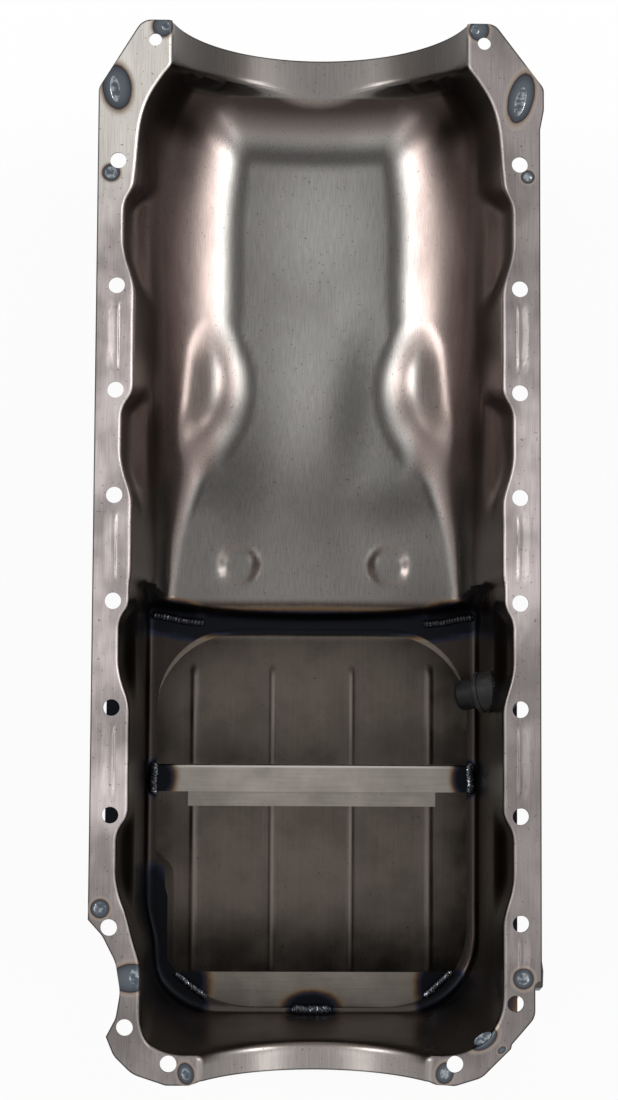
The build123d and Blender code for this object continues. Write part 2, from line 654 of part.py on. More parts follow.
with BuildPart() as rear_shelf:
    with BuildSketch(Plane.XY.offset(PANEL_TOP_Z - SHEET)):
        with BuildLine():
            Polyline(
                (SHELF_LEFT_X, SHELF_FRONT_Y),
                (SHELF_RIGHT_X, SHELF_FRONT_Y),
                (SHELF_RIGHT_X, SHELF_REAR_Y),
                (SHELF_LEFT_X, SHELF_REAR_Y),
                close=True,
            )
        make_face()
    extrude(amount=SHEET)
rear_shelf.part.label = "rear_shelf"


# ------------------------------------------------------------------ drain fitting and capped port

def turned(name, plane, steps, bore=0.0):
    """A turned piece: discs of (radius, thickness) stacked along the plane's normal."""
    with BuildPart() as piece:
        height = 0.0
        for radius, thickness in steps:
            with BuildSketch(plane.offset(height)):
                Circle(radius)
                if bore:
                    Circle(bore, mode=Mode.SUBTRACT)
            extrude(amount=thickness)
            height += thickness
    piece.part.label = name
    return piece


drain_plane = Plane(origin=(BOX_HALF, DRAIN_Y, DRAIN_Z), z_dir=(1, 0, 0), x_dir=(0, 1, 0))
drain_bung = turned(
    "drain_bung",
    drain_plane.offset(-SHEET - BUNG_IN),
    ((BUNG_NECK_R, SHEET + BUNG_IN), (BUNG_R, BUNG_OUT)),
    DRAIN_BORE_R,
)
drain_washer = turned(
    "drain_washer", drain_plane.offset(BUNG_OUT), ((WASHER_R, WASHER_T),), PLUG_R + SEAT_GAP
)
plug_seat = drain_plane.offset(BUNG_OUT + WASHER_T)
with BuildPart() as drain_plug:
    with BuildSketch(plug_seat):
        Circle(PLUG_R)
    extrude(amount=-PLUG_SHANK)
    chamfer(drain_plug.edges().group_by(Axis.X)[0], 1.0)
    with BuildSketch(plug_seat):
        Circle(PLUG_FLANGE_R)
    extrude(amount=PLUG_FLANGE_T)
    with BuildSketch(plug_seat.offset(PLUG_FLANGE_T)):
        RegularPolygon(PLUG_HEX_AF / 2, 6, major_radius=False, rotation=PLUG_HEX_TURN)
    extrude(amount=PLUG_HEX_T)
    chamfer(drain_plug.edges().group_by(Axis.X)[-1], PLUG_HEX_CHAMFER)
drain_plug.part.label = "drain_plug"

port_bung = turned("port_bung", port_plane.offset(-PORT_IN), ((PORT_R, PORT_IN + PORT_OUT),), PORT_BORE_R)
with BuildPart() as port_cap:
    with BuildSketch(port_plane.offset(-CAP_NOSE)):
        Circle(CAP_R)
    extrude(amount=CAP_NOSE + PORT_OUT)
    nose = port_plane.offset(-CAP_NOSE).origin
    chamfer(port_cap.edges().filter_by(GeomType.CIRCLE).sort_by_distance(nose)[0], CAP_NOSE_CHAMFER)
    with BuildSketch(port_plane.offset(PORT_OUT)):
        Circle(CAP_HEAD_R)
    extrude(amount=CAP_HEAD_T)
port_cap.part.label = "port_cap"


# ------------------------------------------------------------------ welds

def weld_pad(name, centre, base_z, size, height, turn, carriers):
    """A laid bead: a long round-ended pad with sloping sides, cut to the sheets that it lies on."""
    with BuildPart() as pad:
        with BuildSketch(Plane.XY.offset(base_z)):
            with Locations(Location((*centre, 0), (0, 0, turn))):
                SlotOverall(*size)
        extrude(amount=height, taper=WELD_PAD_TAPER)
        for carrier in carriers:
            add(carrier, mode=Mode.SUBTRACT)
    pad.part.label = name
    return pad


def weld_run(name, plane, corners, length, carriers):
    """A straight fillet weld: three-cornered section drawn on plane, run along its normal."""
    with BuildPart() as run:
        with BuildSketch(plane):
            with BuildLine():
                Polyline(*corners, close=True)
            make_face()
        extrude(amount=length)
        for carrier in carriers:
            add(carrier, mode=Mode.SUBTRACT)
    run.part.label = name
    return run


pressing, plate = upper_pressing.part, top_plate.part
welds = []
for side, word in ((-1, "left"), (1, "right")):
    welds.append(
        weld_pad(f"crossbar_weld_{word}", (side * (OPENING_HALF - BAR_WELD_INSET), sum(BAR_Y) / 2),
                 LIP_Z, BAR_WELD, BAR_WELD_T, 90, [crossbar.part, pressing])
    )
    welds.append(
        weld_pad(f"shelf_weld_{word}", (side * SHELF_WELD_AT[0], SHELF_WELD_AT[1]), PANEL_TOP_Z,
                 SHELF_WELD, SHELF_WELD_T, side * SHELF_WELD_TURN, [pressing, plate])
    )
    welds.append(
        weld_pad(f"step_weld_{word}", (side * STEP_WELD_AT[0], STEP_WELD_AT[1]), LIP_Z, STEP_WELD,
                 STEP_WELD_T, side * STEP_WELD_TURN, [pressing])
    )
    # outside, along the kick-out, under the curve at the foot of the pressing's wall
    kick_rear_y = NOTCH_FRONT_Y if side < 0 else KICK_WELD_REAR_Y
    wall_x = WELL_FOOT + SHEET + WELD_FIT
    curve = (WELL_FOOT_R + SHEET) * (1 - math.tan(math.radians(22.5)))
    welds.append(
        weld_run(f"kickout_weld_{word}", Plane.XZ.offset(-KICK_WELD_FRONT_Y),
                 [(side * wall_x, LIP_UNDER_Z + curve), (side * (wall_x - curve), LIP_UNDER_Z),
                  (side * (wall_x + WELD_LEG), LIP_UNDER_Z),
                  (side * wall_x, LIP_UNDER_Z + WELD_LEG + SHEET)],
                 KICK_WELD_FRONT_Y - kick_rear_y, [])
    )
    # inside, along the corner of floor and side panel
    panel_x = BOX_HALF - SHEET
    corner_rear_y = NOTCH_FRONT_Y + 2 * NOTCH_R if side < 0 else BOX_REAR_Y + 3 * BEND_R
    corner_front_y = BOX_FRONT_Y - 3 * BEND_R
    welds.append(
        weld_run(f"corner_weld_{word}", Plane.XZ.offset(-corner_front_y),
                 [(side * panel_x, BOX_FLOOR_Z), (side * (panel_x - WELD_LEG), BOX_FLOOR_Z),
                  (side * panel_x, BOX_FLOOR_Z + WELD_LEG)],
                 corner_front_y - corner_rear_y, [])
    )
centre_weld_y = WELL_REAR_FOOT_Y - SHEET / 2 + SHELF_CENTRE_WELD[1] / 2
welds.append(
    weld_pad("shelf_weld_centre", (SHELF_CENTRE_WELD_X, centre_weld_y), PANEL_TOP_Z,
             SHELF_CENTRE_WELD, SHELF_CENTRE_WELD_T, 0, [pressing, plate])
)
welds.append(
    weld_run("front_weld", Plane.YZ.offset(-WELL_FOOT),
             [(BOX_FRONT_Y, LIP_UNDER_Z), (BOX_FRONT_Y + WELD_LEG, LIP_UNDER_Z),
              (BOX_FRONT_Y, LIP_UNDER_Z - SHEET - WELD_LEG)],
             2 * WELL_FOOT, [pressing])
)
with BuildPart() as drain_weld:
    with BuildSketch(drain_plane):
        Circle(BUNG_R + BUNG_WELD_LEG)
    with BuildSketch(drain_plane.offset(BUNG_WELD_LEG)):
        Circle(BUNG_R + SHEET / 4)
    loft(ruled=True)
    with BuildSketch(drain_plane):
        Circle(BUNG_R)
    extrude(amount=BUNG_OUT, mode=Mode.SUBTRACT)
drain_weld.part.label = "drain_weld"
welds.append(drain_weld)

os.makedirs("parts", exist_ok=True)
pieces = [
    upper_pressing.part, top_plate.part, floor_wrap.part, *side_panels.values(),
    crossbar.part, slosh_baffle.part, rear_shelf.part,
    drain_bung.part, drain_washer.part, drain_plug.part, port_bung.part, port_cap.part,
    *[weld.part for weld in welds],
]
for piece in pieces:
    export_step(piece, f"parts/{piece.label}.step")
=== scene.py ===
# %% [markdown]
# # A steel engine oil pan
# The imported CAD model gives every piece its place and size. This lesson gives the pieces the
# look of bare pressed steel: soft drawn radii, heat colours beside the welds, rippled beads.
# The frame is loaded first.

# %% Load the frame
import functools
import math
import bmesh
import bpy
import numpy as np
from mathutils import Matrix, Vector


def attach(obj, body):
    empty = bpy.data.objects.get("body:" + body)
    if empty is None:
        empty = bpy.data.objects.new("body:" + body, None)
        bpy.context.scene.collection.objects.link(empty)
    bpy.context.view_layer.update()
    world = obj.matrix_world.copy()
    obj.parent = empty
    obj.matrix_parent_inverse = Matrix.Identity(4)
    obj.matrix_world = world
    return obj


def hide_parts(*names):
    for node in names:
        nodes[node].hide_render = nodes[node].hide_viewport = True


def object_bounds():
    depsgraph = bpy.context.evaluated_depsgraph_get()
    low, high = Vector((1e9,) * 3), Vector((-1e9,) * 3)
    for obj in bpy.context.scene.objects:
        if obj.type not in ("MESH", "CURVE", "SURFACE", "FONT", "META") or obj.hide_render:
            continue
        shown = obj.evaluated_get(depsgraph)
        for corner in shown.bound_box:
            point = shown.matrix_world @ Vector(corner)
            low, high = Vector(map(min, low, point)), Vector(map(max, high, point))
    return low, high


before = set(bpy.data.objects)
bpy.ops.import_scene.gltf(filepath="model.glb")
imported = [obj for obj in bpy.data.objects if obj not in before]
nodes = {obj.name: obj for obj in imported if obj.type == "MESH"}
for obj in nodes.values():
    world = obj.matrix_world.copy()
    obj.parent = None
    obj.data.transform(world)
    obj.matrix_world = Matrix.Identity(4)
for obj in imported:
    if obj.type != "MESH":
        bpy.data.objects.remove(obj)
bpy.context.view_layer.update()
MM = 0.001

# %% [markdown]
# ## Camera
# The pan is seen from above, nearly square on, from one metre. A long lens keeps the gasket
# rail's two sides almost parallel, while the walls still show their depth.

# %% Camera
camera = bpy.data.objects.new("camera", bpy.data.cameras.new("camera"))
bpy.context.scene.collection.objects.link(camera)
camera.location = (-0.02491, -0.06504, 0.99758)
camera.rotation_euler = [math.radians(a) for a in (3.6923, -1.1940, 0.3337)]
camera.data.sensor_fit = "VERTICAL"
camera.data.sensor_height = 24.0
camera.data.lens = 24.0 * 1872 / 1100
camera.data.clip_end = 20
bpy.context.scene.camera = camera
print("camera at", tuple(round(c, 3) for c in camera.location), "lens", round(camera.data.lens, 2))

# %% [markdown]
# ## The space inside a drawn pressing
# A press stretches one sheet over a punch, so the pan is really the skin of its punch. That could
# be modelled as walls and floors with bevels on every edge, but bevels break where a pocket runs
# out into a sloping wall. Here the punch is written as a rule instead: a distance that is below
# nothing inside the hollow and above it in the metal. Two spaces are joined or crossed with a
# rounded edge, so each drawn radius is one number.

# %% Rounded joins of spaces
def cross(a, b, r):
    """Where both spaces are, with the corner between them rounded."""
    return np.minimum(-r, np.maximum(a, b)) + np.hypot(np.maximum(a + r, 0), np.maximum(b + r, 0))


def join(a, b, r):
    """Where either space is, with the edge between them rounded."""
    return -cross(-a, -b, r)


def along(y, stations, values):
    """A smooth value along the pan, through the values at its stations."""
    ys, vs = np.asarray(stations, float), np.asarray(values, float)
    slopes = np.gradient(vs, ys)
    i = np.clip(np.searchsorted(ys, y) - 1, 0, len(ys) - 2)
    h = ys[i + 1] - ys[i]
    t = np.clip((y - ys[i]) / h, 0, 1)
    return (
        (2 * t**3 - 3 * t**2 + 1) * vs[i] + (t**3 - 2 * t**2 + t) * h * slopes[i]
        + (3 * t**2 - 2 * t**3) * vs[i + 1] + (t**3 - t**2) * h * slopes[i + 1]
    )


def ramp(x, low, high):
    """0 below low, 1 above high, and an even ease between."""
    t = np.clip((x - low) / (high - low), 0, 1)
    return t * t * (3 - 2 * t)


print("a corner rounded by 4 mm stands off", round(float(cross(0.0, 0.0, 4)), 2), "mm")

# %% [markdown]
# ## The front bay
# The shallow front of the pan clears the crankshaft. Its floor is flat in the middle and climbs
# in two broad shoulders to the side walls, and all of that changes along the pan. Seven
# cross-sections say how, and the surface runs smoothly through them. Two dents rise from the
# shoulders, and two round dimples are pressed down near the bay's rear edge.

# %% Front bay in millimetres
SHEET = 1.6
WELL_DEPTH = 100.0
BAY_Y = (-36.5, 0.0, 60.0, 130.0, 205.0, 246.0, 264.5)
BAY_WALL_TOP = (99.3, 99.3, 99.3, 99.3, 99.3, 92.0, 80.0)
BAY_WALL_FOOT = (88.0, 88.0, 87.0, 86.0, 86.0, 81.0, 74.0)
BAY_SHOULDER_FOOT = (86.0, 82.0, 71.0, 66.0, 64.0, 58.0, 56.0)
BAY_FLOOR_R = (6.0, 6.0, 10.0, 17.0, 17.0, 16.0, 15.0)
BAY_FLOOR = (-90.5, -89.0, -86.5, -83.5, -81.0, -79.5, -79.0)
BAY_SLOPE = (62, 56, 47, 44, 44, 46, 46)
FLOOR_BOW = 0.0011
WALL_FOOT_R = 5.0
DENT_AT = (92.0, 103.0)
DENT_R, DENT_FLARE, DENT_TOP, DENT_EDGE_R = 33.0, 1.5, -71.5, 4.5
DIMPLE_AT = (43.5, -4.0)
DIMPLE_R, DIMPLE_DEPTH, DIMPLE_EDGE_R = 12.6, 3.5, 1.6
FRONT_RISE, FRONT_RISE_AT, FRONT_RISE_R = 52, (264.5, -63.8), 20.0
FRONT_WALL_Y, FRONT_WALL_DRAFT = 262.8, 0.10
print("stations of the front bay:", len(BAY_Y))


# %% The bay's rule
def bay_space(x, y, z):
    """The hollow of the front bay, with its dents and dimples."""
    ax = np.abs(x)
    floor_z = along(y, BAY_Y, BAY_FLOOR) + FLOOR_BOW * ax**2 * ramp(y, 20.0, 90.0)
    top, wall_foot = along(y, BAY_Y, BAY_WALL_TOP), along(y, BAY_Y, BAY_WALL_FOOT)
    slope = np.radians(along(y, BAY_Y, BAY_SLOPE))
    wall = ax - (top + (wall_foot - top) / floor_z * z)
    shoulder_x = ax - along(y, BAY_Y, BAY_SHOULDER_FOOT)
    shoulder = shoulder_x * np.sin(slope) - (z - floor_z) * np.cos(slope)
    space = cross(wall, shoulder, WALL_FOOT_R)
    away = np.hypot(ax - DIMPLE_AT[0], y - DIMPLE_AT[1])
    dimple_side = (away - DIMPLE_R - 1.25 * (z - floor_z)) * 0.62
    dimple = cross(dimple_side, floor_z - DIMPLE_DEPTH - z, DIMPLE_EDGE_R)
    floor = join(floor_z - z, np.where(away < 20.0, dimple, 30.0), 2.0)
    space = cross(space, floor, along(y, BAY_Y, BAY_FLOOR_R))
    dent_r = DENT_R + DENT_FLARE * (DENT_TOP - z)
    dent_side = (np.hypot(ax - DENT_AT[0], (y - DENT_AT[1]) * 0.95) - dent_r) * 0.55
    dent = cross(dent_side, z - DENT_TOP + 0.03 * (ax - 58.0), DENT_EDGE_R)
    space = cross(space, -dent, DENT_EDGE_R)
    rise = np.radians(FRONT_RISE)
    rise_y, rise_z = FRONT_RISE_AT
    front_rise = (y - rise_y) * np.sin(rise) - (z - rise_z) * np.cos(rise)
    space = cross(space, front_rise, FRONT_RISE_R)
    space = cross(space, y - FRONT_WALL_Y + FRONT_WALL_DRAFT * z, WALL_FOOT_R)
    return np.maximum(space, BAY_Y[0] - y)


print("bay floor from", BAY_FLOOR[0], "to", BAY_FLOOR[-1], "mm")

# %% [markdown]
# ## The deep well, the pockets and the ends
# Behind the bay the sheet is drawn down to a lip round the sump's opening, with nearly upright
# walls. Between the bolts the walls bulge out in shallow pockets, so that tools and rod bolts
# clear. Each end of the pan has a half-round land for a rubber seal. The well is drawn in at its
# left rear, where the starter sits.

# %% Well, pockets and seal lands in millimetres
PITCH = 56.64
WELL_HALF, WELL_DRAFT, WELL_REAR = 99.3, 2.8, -266.5
STARTER_X, STARTER_RUN_OUT = 91.8, (-224.0, -184.0)
POCKET_OUT_RIGHT, POCKET_OUT_LEFT = 104.6, 105.2
FRONT_SEAL = (18.7, 82.5)  # height of the trough's axis over the gasket plane, and its radius
REAR_SEAL = (42.3, 73.4)
POCKETS = (
    (2.5 * PITCH + 53.4, 2.5 * PITCH + 4.4),
    (1.5 * PITCH - 2.5, 0.5 * PITCH + 2.5),
    (-0.5 * PITCH - 2.5, -1.5 * PITCH + 4.5),
    (-2.5 * PITCH - 1.5, -2.5 * PITCH - 51.0),
)
print("pockets a side:", len(POCKETS))


# %% The well's rule
def well_space(x, y, z):
    """The deep hollow over the sump."""
    t = -z / WELL_DEPTH
    half = WELL_HALF - WELL_DRAFT * t
    rear, corner = WELL_REAR + 4.0 * t, 30.0 + 16.0 * t
    qx, qy = np.abs(x) - (half - corner), rear + corner - y
    side = np.hypot(np.maximum(qx, 0), np.maximum(qy, 0)) - corner
    side = side + np.minimum(np.maximum(qx, qy), 0)
    front = y + 24.0 + 4.0 * np.clip((-z - 90.5) / 9.5, -2, 2) + 7.5 * (1 - (x / 96.5) ** 2)
    space = cross(side, front, 5.0)
    starter = -(x + STARTER_X + 12.5 * ramp(y, *STARTER_RUN_OUT))
    space = cross(space, starter, 6.0)
    return cross(space, -(z + WELL_DEPTH), 4.0)


def pocket_space(x, y, z):
    """The shallow pockets between the bolts, a sharp front end and a long rear end each."""
    ax = np.abs(x)
    nearest = np.argmin([np.abs(y - (front + rear) / 2) for front, rear in POCKETS], axis=0)
    front, rear = (np.choose(nearest, ends) for ends in zip(*POCKETS))
    out = np.where(x > 0, POCKET_OUT_RIGHT, POCKET_OUT_LEFT)
    upright = ax - out
    floor = (-(z + 24.0) - (out - ax) * 1.25) * 0.62
    space = np.maximum(cross(upright, floor, 7.0), 90.0 - ax)
    ahead = ((ax - WELL_HALF) * 6.0 + (y - front) * 5.7) / 8.3
    behind = ((ax - WELL_HALF) * 10.0 + (rear - y) * 5.7) / 11.5
    return cross(cross(space, ahead, 3.5), behind, 5.0)


def land_space(x, y, z):
    """The two half-round troughs, each from its seal land in to the hollow behind it."""
    front_z, front_r = FRONT_SEAL
    rear_z, rear_r = REAR_SEAL
    front = np.maximum(np.hypot(x, z - front_z) - front_r, 250.0 - y)
    rear = np.maximum(np.hypot(x, z - rear_z) - rear_r, y + 255.0)
    return np.minimum(front, rear)


def pan_space(x, y, z):
    """All the space over the drawn sheet. The open air over the gasket rail counts too."""
    space = join(bay_space(x, y, z), well_space(x, y, z), 3.2)
    space = join(space, pocket_space(x, y, z), 3.4)
    space = join(space, land_space(x, y, z), 4.0)
    return join(space, bead_height(x, y) - z, 2.6)


print("well depth:", WELL_DEPTH, "mm, half width at the rail:", WELL_HALF, "mm")

# %% [markdown]
# ## Beads on the gasket rail
# Long raised beads stiffen the rail between its bolts. Each is a rounded slot a millimetre high,
# so its height is a function of the distance from a short line.

# %% Rail beads
BEAD_X, BEAD_SHIFT, BEAD_HALF, BEAD_HEIGHT = 109.3, 1.5, 16.2, 0.98
SHORT_BEAD = (109.6, -214.0, 6.0)


def bead_height(x, y):
    """Height of the rail's face over the gasket plane."""
    centre = np.clip(np.round((y - BEAD_SHIFT) / (2 * PITCH)), -1, 1) * 2 * PITCH + BEAD_SHIFT
    away = np.hypot(np.abs(x) - BEAD_X, np.maximum(np.abs(y - centre) - BEAD_HALF, 0))
    short_x, short_y, short_half = SHORT_BEAD
    away = np.minimum(away, np.hypot(x - short_x, np.maximum(np.abs(y - short_y) - short_half, 0)))
    return BEAD_HEIGHT * (1 - ramp(away, 1.2, 2.6))


print("beads on the rail: 6 long and 1 short,", BEAD_HEIGHT, "mm high")

# %% [markdown]
# ## From the rule to a mesh
# The surface could be found with a volume grid, but that leaves steps on metal that mirrors its
# surroundings. Rays find it smoothly: from a line over the pan, rays fan out in every
# cross-section and stop where the space ends. Nearly all of them stop within 0.05 mm of it, and
# the worst, where rays graze the steep ends, half a millimetre off. Rows lie closer together at
# those ends and at the step, and columns gather where the surface turns. The underside is the
# same point one sheet thickness further along the surface's normal, which keeps the wall even.

# %% Rays to the surface
EYE_Z = 60.0


def find_surface(y, angle, travel, steps):
    """Points where rays, fanned out at angle from straight down, leave the space, and how far."""
    dx, dz = np.sin(angle), -np.cos(angle)
    for _ in range(steps):
        travel = travel - 0.88 * pan_space(dx * travel, y, EYE_Z + dz * travel)
    return dx * travel, EYE_Z + dz * travel, travel


def spaced(low, high, density):
    """Positions from low to high, as close together as density asks, in steps per millimetre."""
    fine = np.linspace(low, high, 6000)
    rate = density(fine)
    total = np.concatenate([[0], np.cumsum((rate[1:] + rate[:-1]) / 2 * np.diff(fine))])
    count = int(math.ceil(total[-1]))
    return np.interp(np.linspace(0, total[-1], count + 1), total, fine)


def row_density(y):
    """Rows per millimetre along the pan."""
    steep = 2.6 * np.exp(-((y + 264.5) / 2.6) ** 2) + 0.9 * np.exp(-((y + 256.0) / 7.0) ** 2)
    step = 1.9 * np.exp(-((y + 28.0) / 5.5) ** 2) + 0.5 * np.exp(-((y + 30.0) / 10.0) ** 2)
    front = 0.7 * np.exp(-((y - 262.0) / 9.0) ** 2)
    ends = sum(0.35 * np.exp(-((y - end) / 7.0) ** 2) for pocket in POCKETS for end in pocket)
    return 0.30 + steep + step + front + ends


ROWS = spaced(-286.0, 291.0, row_density)
EDGE_ANGLE = math.atan2(126.0, EYE_Z)
fan = np.linspace(-EDGE_ANGLE, EDGE_ANGLE, 380)
row_y = ROWS[:, None]
start = np.repeat((EYE_Z - 6.0) / np.cos(fan[None, :]), len(ROWS), axis=0)
px, pz, reach = find_surface(row_y, fan[None, :], start, 45)
print("rows", len(ROWS), "deepest", round(float(pz.min()), 2), "widest", round(float(px.max()), 2))

# %% Gather the columns where the surface turns
COLUMNS = 142
step_x, step_z = np.diff(px, axis=1), np.diff(pz, axis=1)
length = np.hypot(step_x, step_z)
heading = np.unwrap(np.arctan2(step_z, step_x), axis=1)
turning = np.zeros_like(length)
turning[:, 1:] = np.abs(np.diff(heading, axis=1))
weight = length / 3.4 + turning / math.radians(7.5)
kernel = np.exp(-np.linspace(-2, 2, 13) ** 2)
kernel /= kernel.sum()


def softened(line):
    """The values of a line, each spread over its neighbours."""
    return np.convolve(np.pad(line, 6, mode="edge"), kernel, "valid")


for axis in (1, 0):
    weight = np.apply_along_axis(softened, axis, weight)
share = np.concatenate([np.zeros((len(ROWS), 1)), np.cumsum(weight, axis=1)], axis=1)
share /= share[:, -1:]
angles = np.array([np.interp(np.linspace(0, 1, COLUMNS), row, fan) for row in share])
start = np.array([np.interp(turns, fan, row) for turns, row in zip(angles, reach)])
px, pz, reach = find_surface(row_y, angles, start - 0.3, 22)
miss = np.abs(pan_space(px, row_y, pz))
print("columns", COLUMNS, "largest miss in mm", round(float(miss.max()), 3))


# %% Both faces of the sheet
def surface_normal(x, y, z, h=0.05):
    """Direction out of the space and into the metal."""
    normal = np.stack([
        pan_space(x + h, y, z) - pan_space(x - h, y, z),
        pan_space(x, y + h, z) - pan_space(x, y - h, z),
        pan_space(x, y, z + h) - pan_space(x, y, z - h),
    ], axis=-1)
    return normal / np.linalg.norm(normal, axis=-1, keepdims=True)


inner = np.stack([px, np.broadcast_to(row_y, px.shape), pz], axis=-1)
outer = inner + SHEET * surface_normal(px, row_y, pz)
rows, columns = px.shape
index = np.arange(rows * columns).reshape(rows, columns)
a, b, c, d = index[:-1, :-1], index[:-1, 1:], index[1:, 1:], index[1:, :-1]
top_faces = np.stack([a, b, c, d], axis=-1).reshape(-1, 4)
under_faces = top_faces[:, ::-1] + rows * columns
rim = np.concatenate([index[0, :], index[1:, -1], index[-1, -2::-1], index[-2:0:-1, 0]])
rim_next = np.roll(rim, -1)
rim_faces = np.stack([rim_next, rim, rim + rows * columns, rim_next + rows * columns], axis=-1)
points = np.concatenate([inner.reshape(-1, 3), outer.reshape(-1, 3)]) * MM
faces = np.concatenate([top_faces, under_faces, rim_faces])
pressing_mesh = bpy.data.meshes.new("pan_pressing")
pressing_mesh.from_pydata(points.tolist(), [], faces.tolist())
pressing_mesh.update()
pressing = bpy.data.objects.new("pan_pressing", pressing_mesh)
bpy.context.scene.collection.objects.link(pressing)
print("sheet faces", len(faces))

# %% [markdown]
# ## Trimming the sheet
# A press shop draws the sheet first and then trims its outline and pierces its holes. The same
# order works here: one cutter holds everything outside the rail's outline, the bolt holes, the
# opening into the sump and the port, and a single exact boolean takes it all off.

# %% Cutters
def prism(bm, outline, low, high):
    """A closed prism over a plan outline in millimetres."""
    rings = [[bm.verts.new((x * MM, y * MM, z * MM)) for x, y in outline] for z in (low, high)]
    count = len(outline)
    for k in range(count):
        n = (k + 1) % count
        bm.faces.new((rings[0][k], rings[0][n], rings[1][n], rings[1][k]))
    bm.faces.new(rings[1])
    bm.faces.new(rings[0][::-1])


def arc(centre, radius, start, end, count):
    """Points on an arc between two angles in degrees."""
    turn = np.radians(np.linspace(start, end, count))
    return [(centre[0] + radius * math.cos(t), centre[1] + radius * math.sin(t)) for t in turn]


def rounded(corners, arc_steps=7):
    """A closed outline with the given radius at each corner, counter-clockwise: (x, y, radius)."""
    outline, count = [], len(corners)
    for k, (x, y, radius) in enumerate(corners):
        here = Vector((x, y))
        back = (Vector(corners[k - 1][:2]) - here).normalized()
        ahead = (Vector(corners[(k + 1) % count][:2]) - here).normalized()
        if radius <= 0:
            outline.append((x, y))
            continue
        half = back.angle(ahead) / 2
        centre = here + (back + ahead).normalized() * (radius / math.sin(half))
        reach = radius / math.tan(half)
        first, last = here + back * reach - centre, here + ahead * reach - centre
        sweep = first.angle_signed(last) * -1
        for step in range(arc_steps):
            turn = sweep * step / (arc_steps - 1)
            outline.append((
                centre.x + first.x * math.cos(turn) - first.y * math.sin(turn),
                centre.y + first.x * math.sin(turn) + first.y * math.cos(turn),
            ))
    return outline


# %% The rail's outline, the opening, the holes and the port
RAIL_OUTLINE = [
    (119.8, -196.0, 0), (119.8, 229.0, 6), (121.9, 240.0, 6), (121.9, 252.0, 6),
    (95.0, 287.6, 8), (80.35, 287.6, 0), (80.35, 286.6, 0), (-80.35, 286.6, 0),
    (-80.35, 287.6, 0), (-96.5, 287.6, 9), (-119.8, 249.5, 7), (-119.8, -196.3, 0),
    (-112.2, -204.6, 14), (-105.0, -218.4, 20), (-102.4, -234.0, 20), (-104.6, -247.5, 12),
    (-109.6, -257.0, 0), (-105.5, -266.8, 12), (-95.6, -276.4, 16), (-78.0, -282.2, 6),
    (-66.0, -282.2, 3), (-60.1, -280.2, 0), (60.1, -280.2, 0), (64.0, -281.6, 3),
    (74.0, -282.2, 7), (88.0, -278.0, 12), (103.4, -263.0, 0.6), (104.0, -260.6, 0.6),
    (116.3, -246.5, 9), (116.3, -229.5, 0.6), (119.8, -228.0, 0.6),
]
OPENING = [(90.5, -40.5, 46), (-90.5, -40.5, 46), (-90.5, -259.5, 56), (90.5, -259.5, 46)]
RAIL_HOLES = [(side * 108.8, (2.5 - row) * PITCH) for side in (-1, 1) for row in range(6)]
RAIL_HOLES += [(-108.8, 209.84), (108.8, 209.84), (-108.8, -200.4), (108.8, -197.96)]
RAIL_HOLES += [(-99.9, -252.3), (-76.8, -271.1), (105.9, -239.6), (73.9, -271.1)]
CORNER_HOLES = [(-89.5, 276.7), (89.5, 276.7)]
RAIL_HOLE_R, CORNER_HOLE_R, HOLE_SIDES = 4.4, 3.55, 32

PORT_AT = Vector((98.0, -75.5, -50.0))
PORT_HOLE_R, PORT_SIDES, PORT_REACH = 11.1, 40, 14
PORT_UP, PORT_FORWARD = math.radians(24), math.radians(10)
PORT_AXIS = Vector((
    math.cos(PORT_UP) * math.cos(PORT_FORWARD),
    math.cos(PORT_UP) * math.sin(PORT_FORWARD),
    math.sin(PORT_UP),
))
trim = rounded(RAIL_OUTLINE)
border = [(200, -400), (200, 400), (-200, 400), (-200, -400)]
print("trim outline points", len(trim), "holes", len(RAIL_HOLES) + len(CORNER_HOLES))


# %% Tools for cutting
def waste_ring(bm, outline, border, low, high):
    """A block with the outline's shape cut through it: what the trimming tool takes off."""
    levels = []
    for z in (low, high):
        loops, edges = [], []
        for loop in (outline, border):
            verts = [bm.verts.new((x * MM, y * MM, z * MM)) for x, y in loop]
            edges += [bm.edges.new((verts[k - 1], verts[k])) for k in range(len(verts))]
            loops.append(verts)
        bmesh.ops.triangle_fill(bm, edges=edges, use_beauty=True)
        levels.append(loops)
    for low_ring, high_ring in zip(*levels):
        for k in range(len(low_ring)):
            bm.faces.new((low_ring[k - 1], low_ring[k], high_ring[k], high_ring[k - 1]))


def ring_points(centre, axis, radius, count):
    """Points of a circle round an axis, in millimetres."""
    across = axis.cross(Vector((0, 1, 0))).normalized()
    other = axis.cross(across)
    turns = [2 * math.pi * k / count for k in range(count)]
    return [centre + radius * (math.cos(t) * across + math.sin(t) * other) for t in turns]


def make_object(name, mesh):
    """An object at the origin that holds the mesh."""
    obj = bpy.data.objects.new(name, mesh)
    bpy.context.scene.collection.objects.link(obj)
    return obj


def object_from(bm, name):
    """The bmesh as an object at the origin, its faces turned outwards."""
    bmesh.ops.recalc_face_normals(bm, faces=bm.faces)
    mesh = bpy.data.meshes.new(name)
    bm.to_mesh(mesh)
    bm.free()
    return make_object(name, mesh)


def evaluated_mesh(obj):
    """A plain mesh of what the object's modifiers make of it."""
    bpy.context.view_layer.update()
    seen = obj.evaluated_get(bpy.context.evaluated_depsgraph_get())
    return bpy.data.meshes.new_from_object(seen)


def settled(obj):
    """The object with its modifiers worked into a plain mesh."""
    obj.data = evaluated_mesh(obj)
    obj.modifiers.clear()
    obj.data.name = obj.name
    return obj


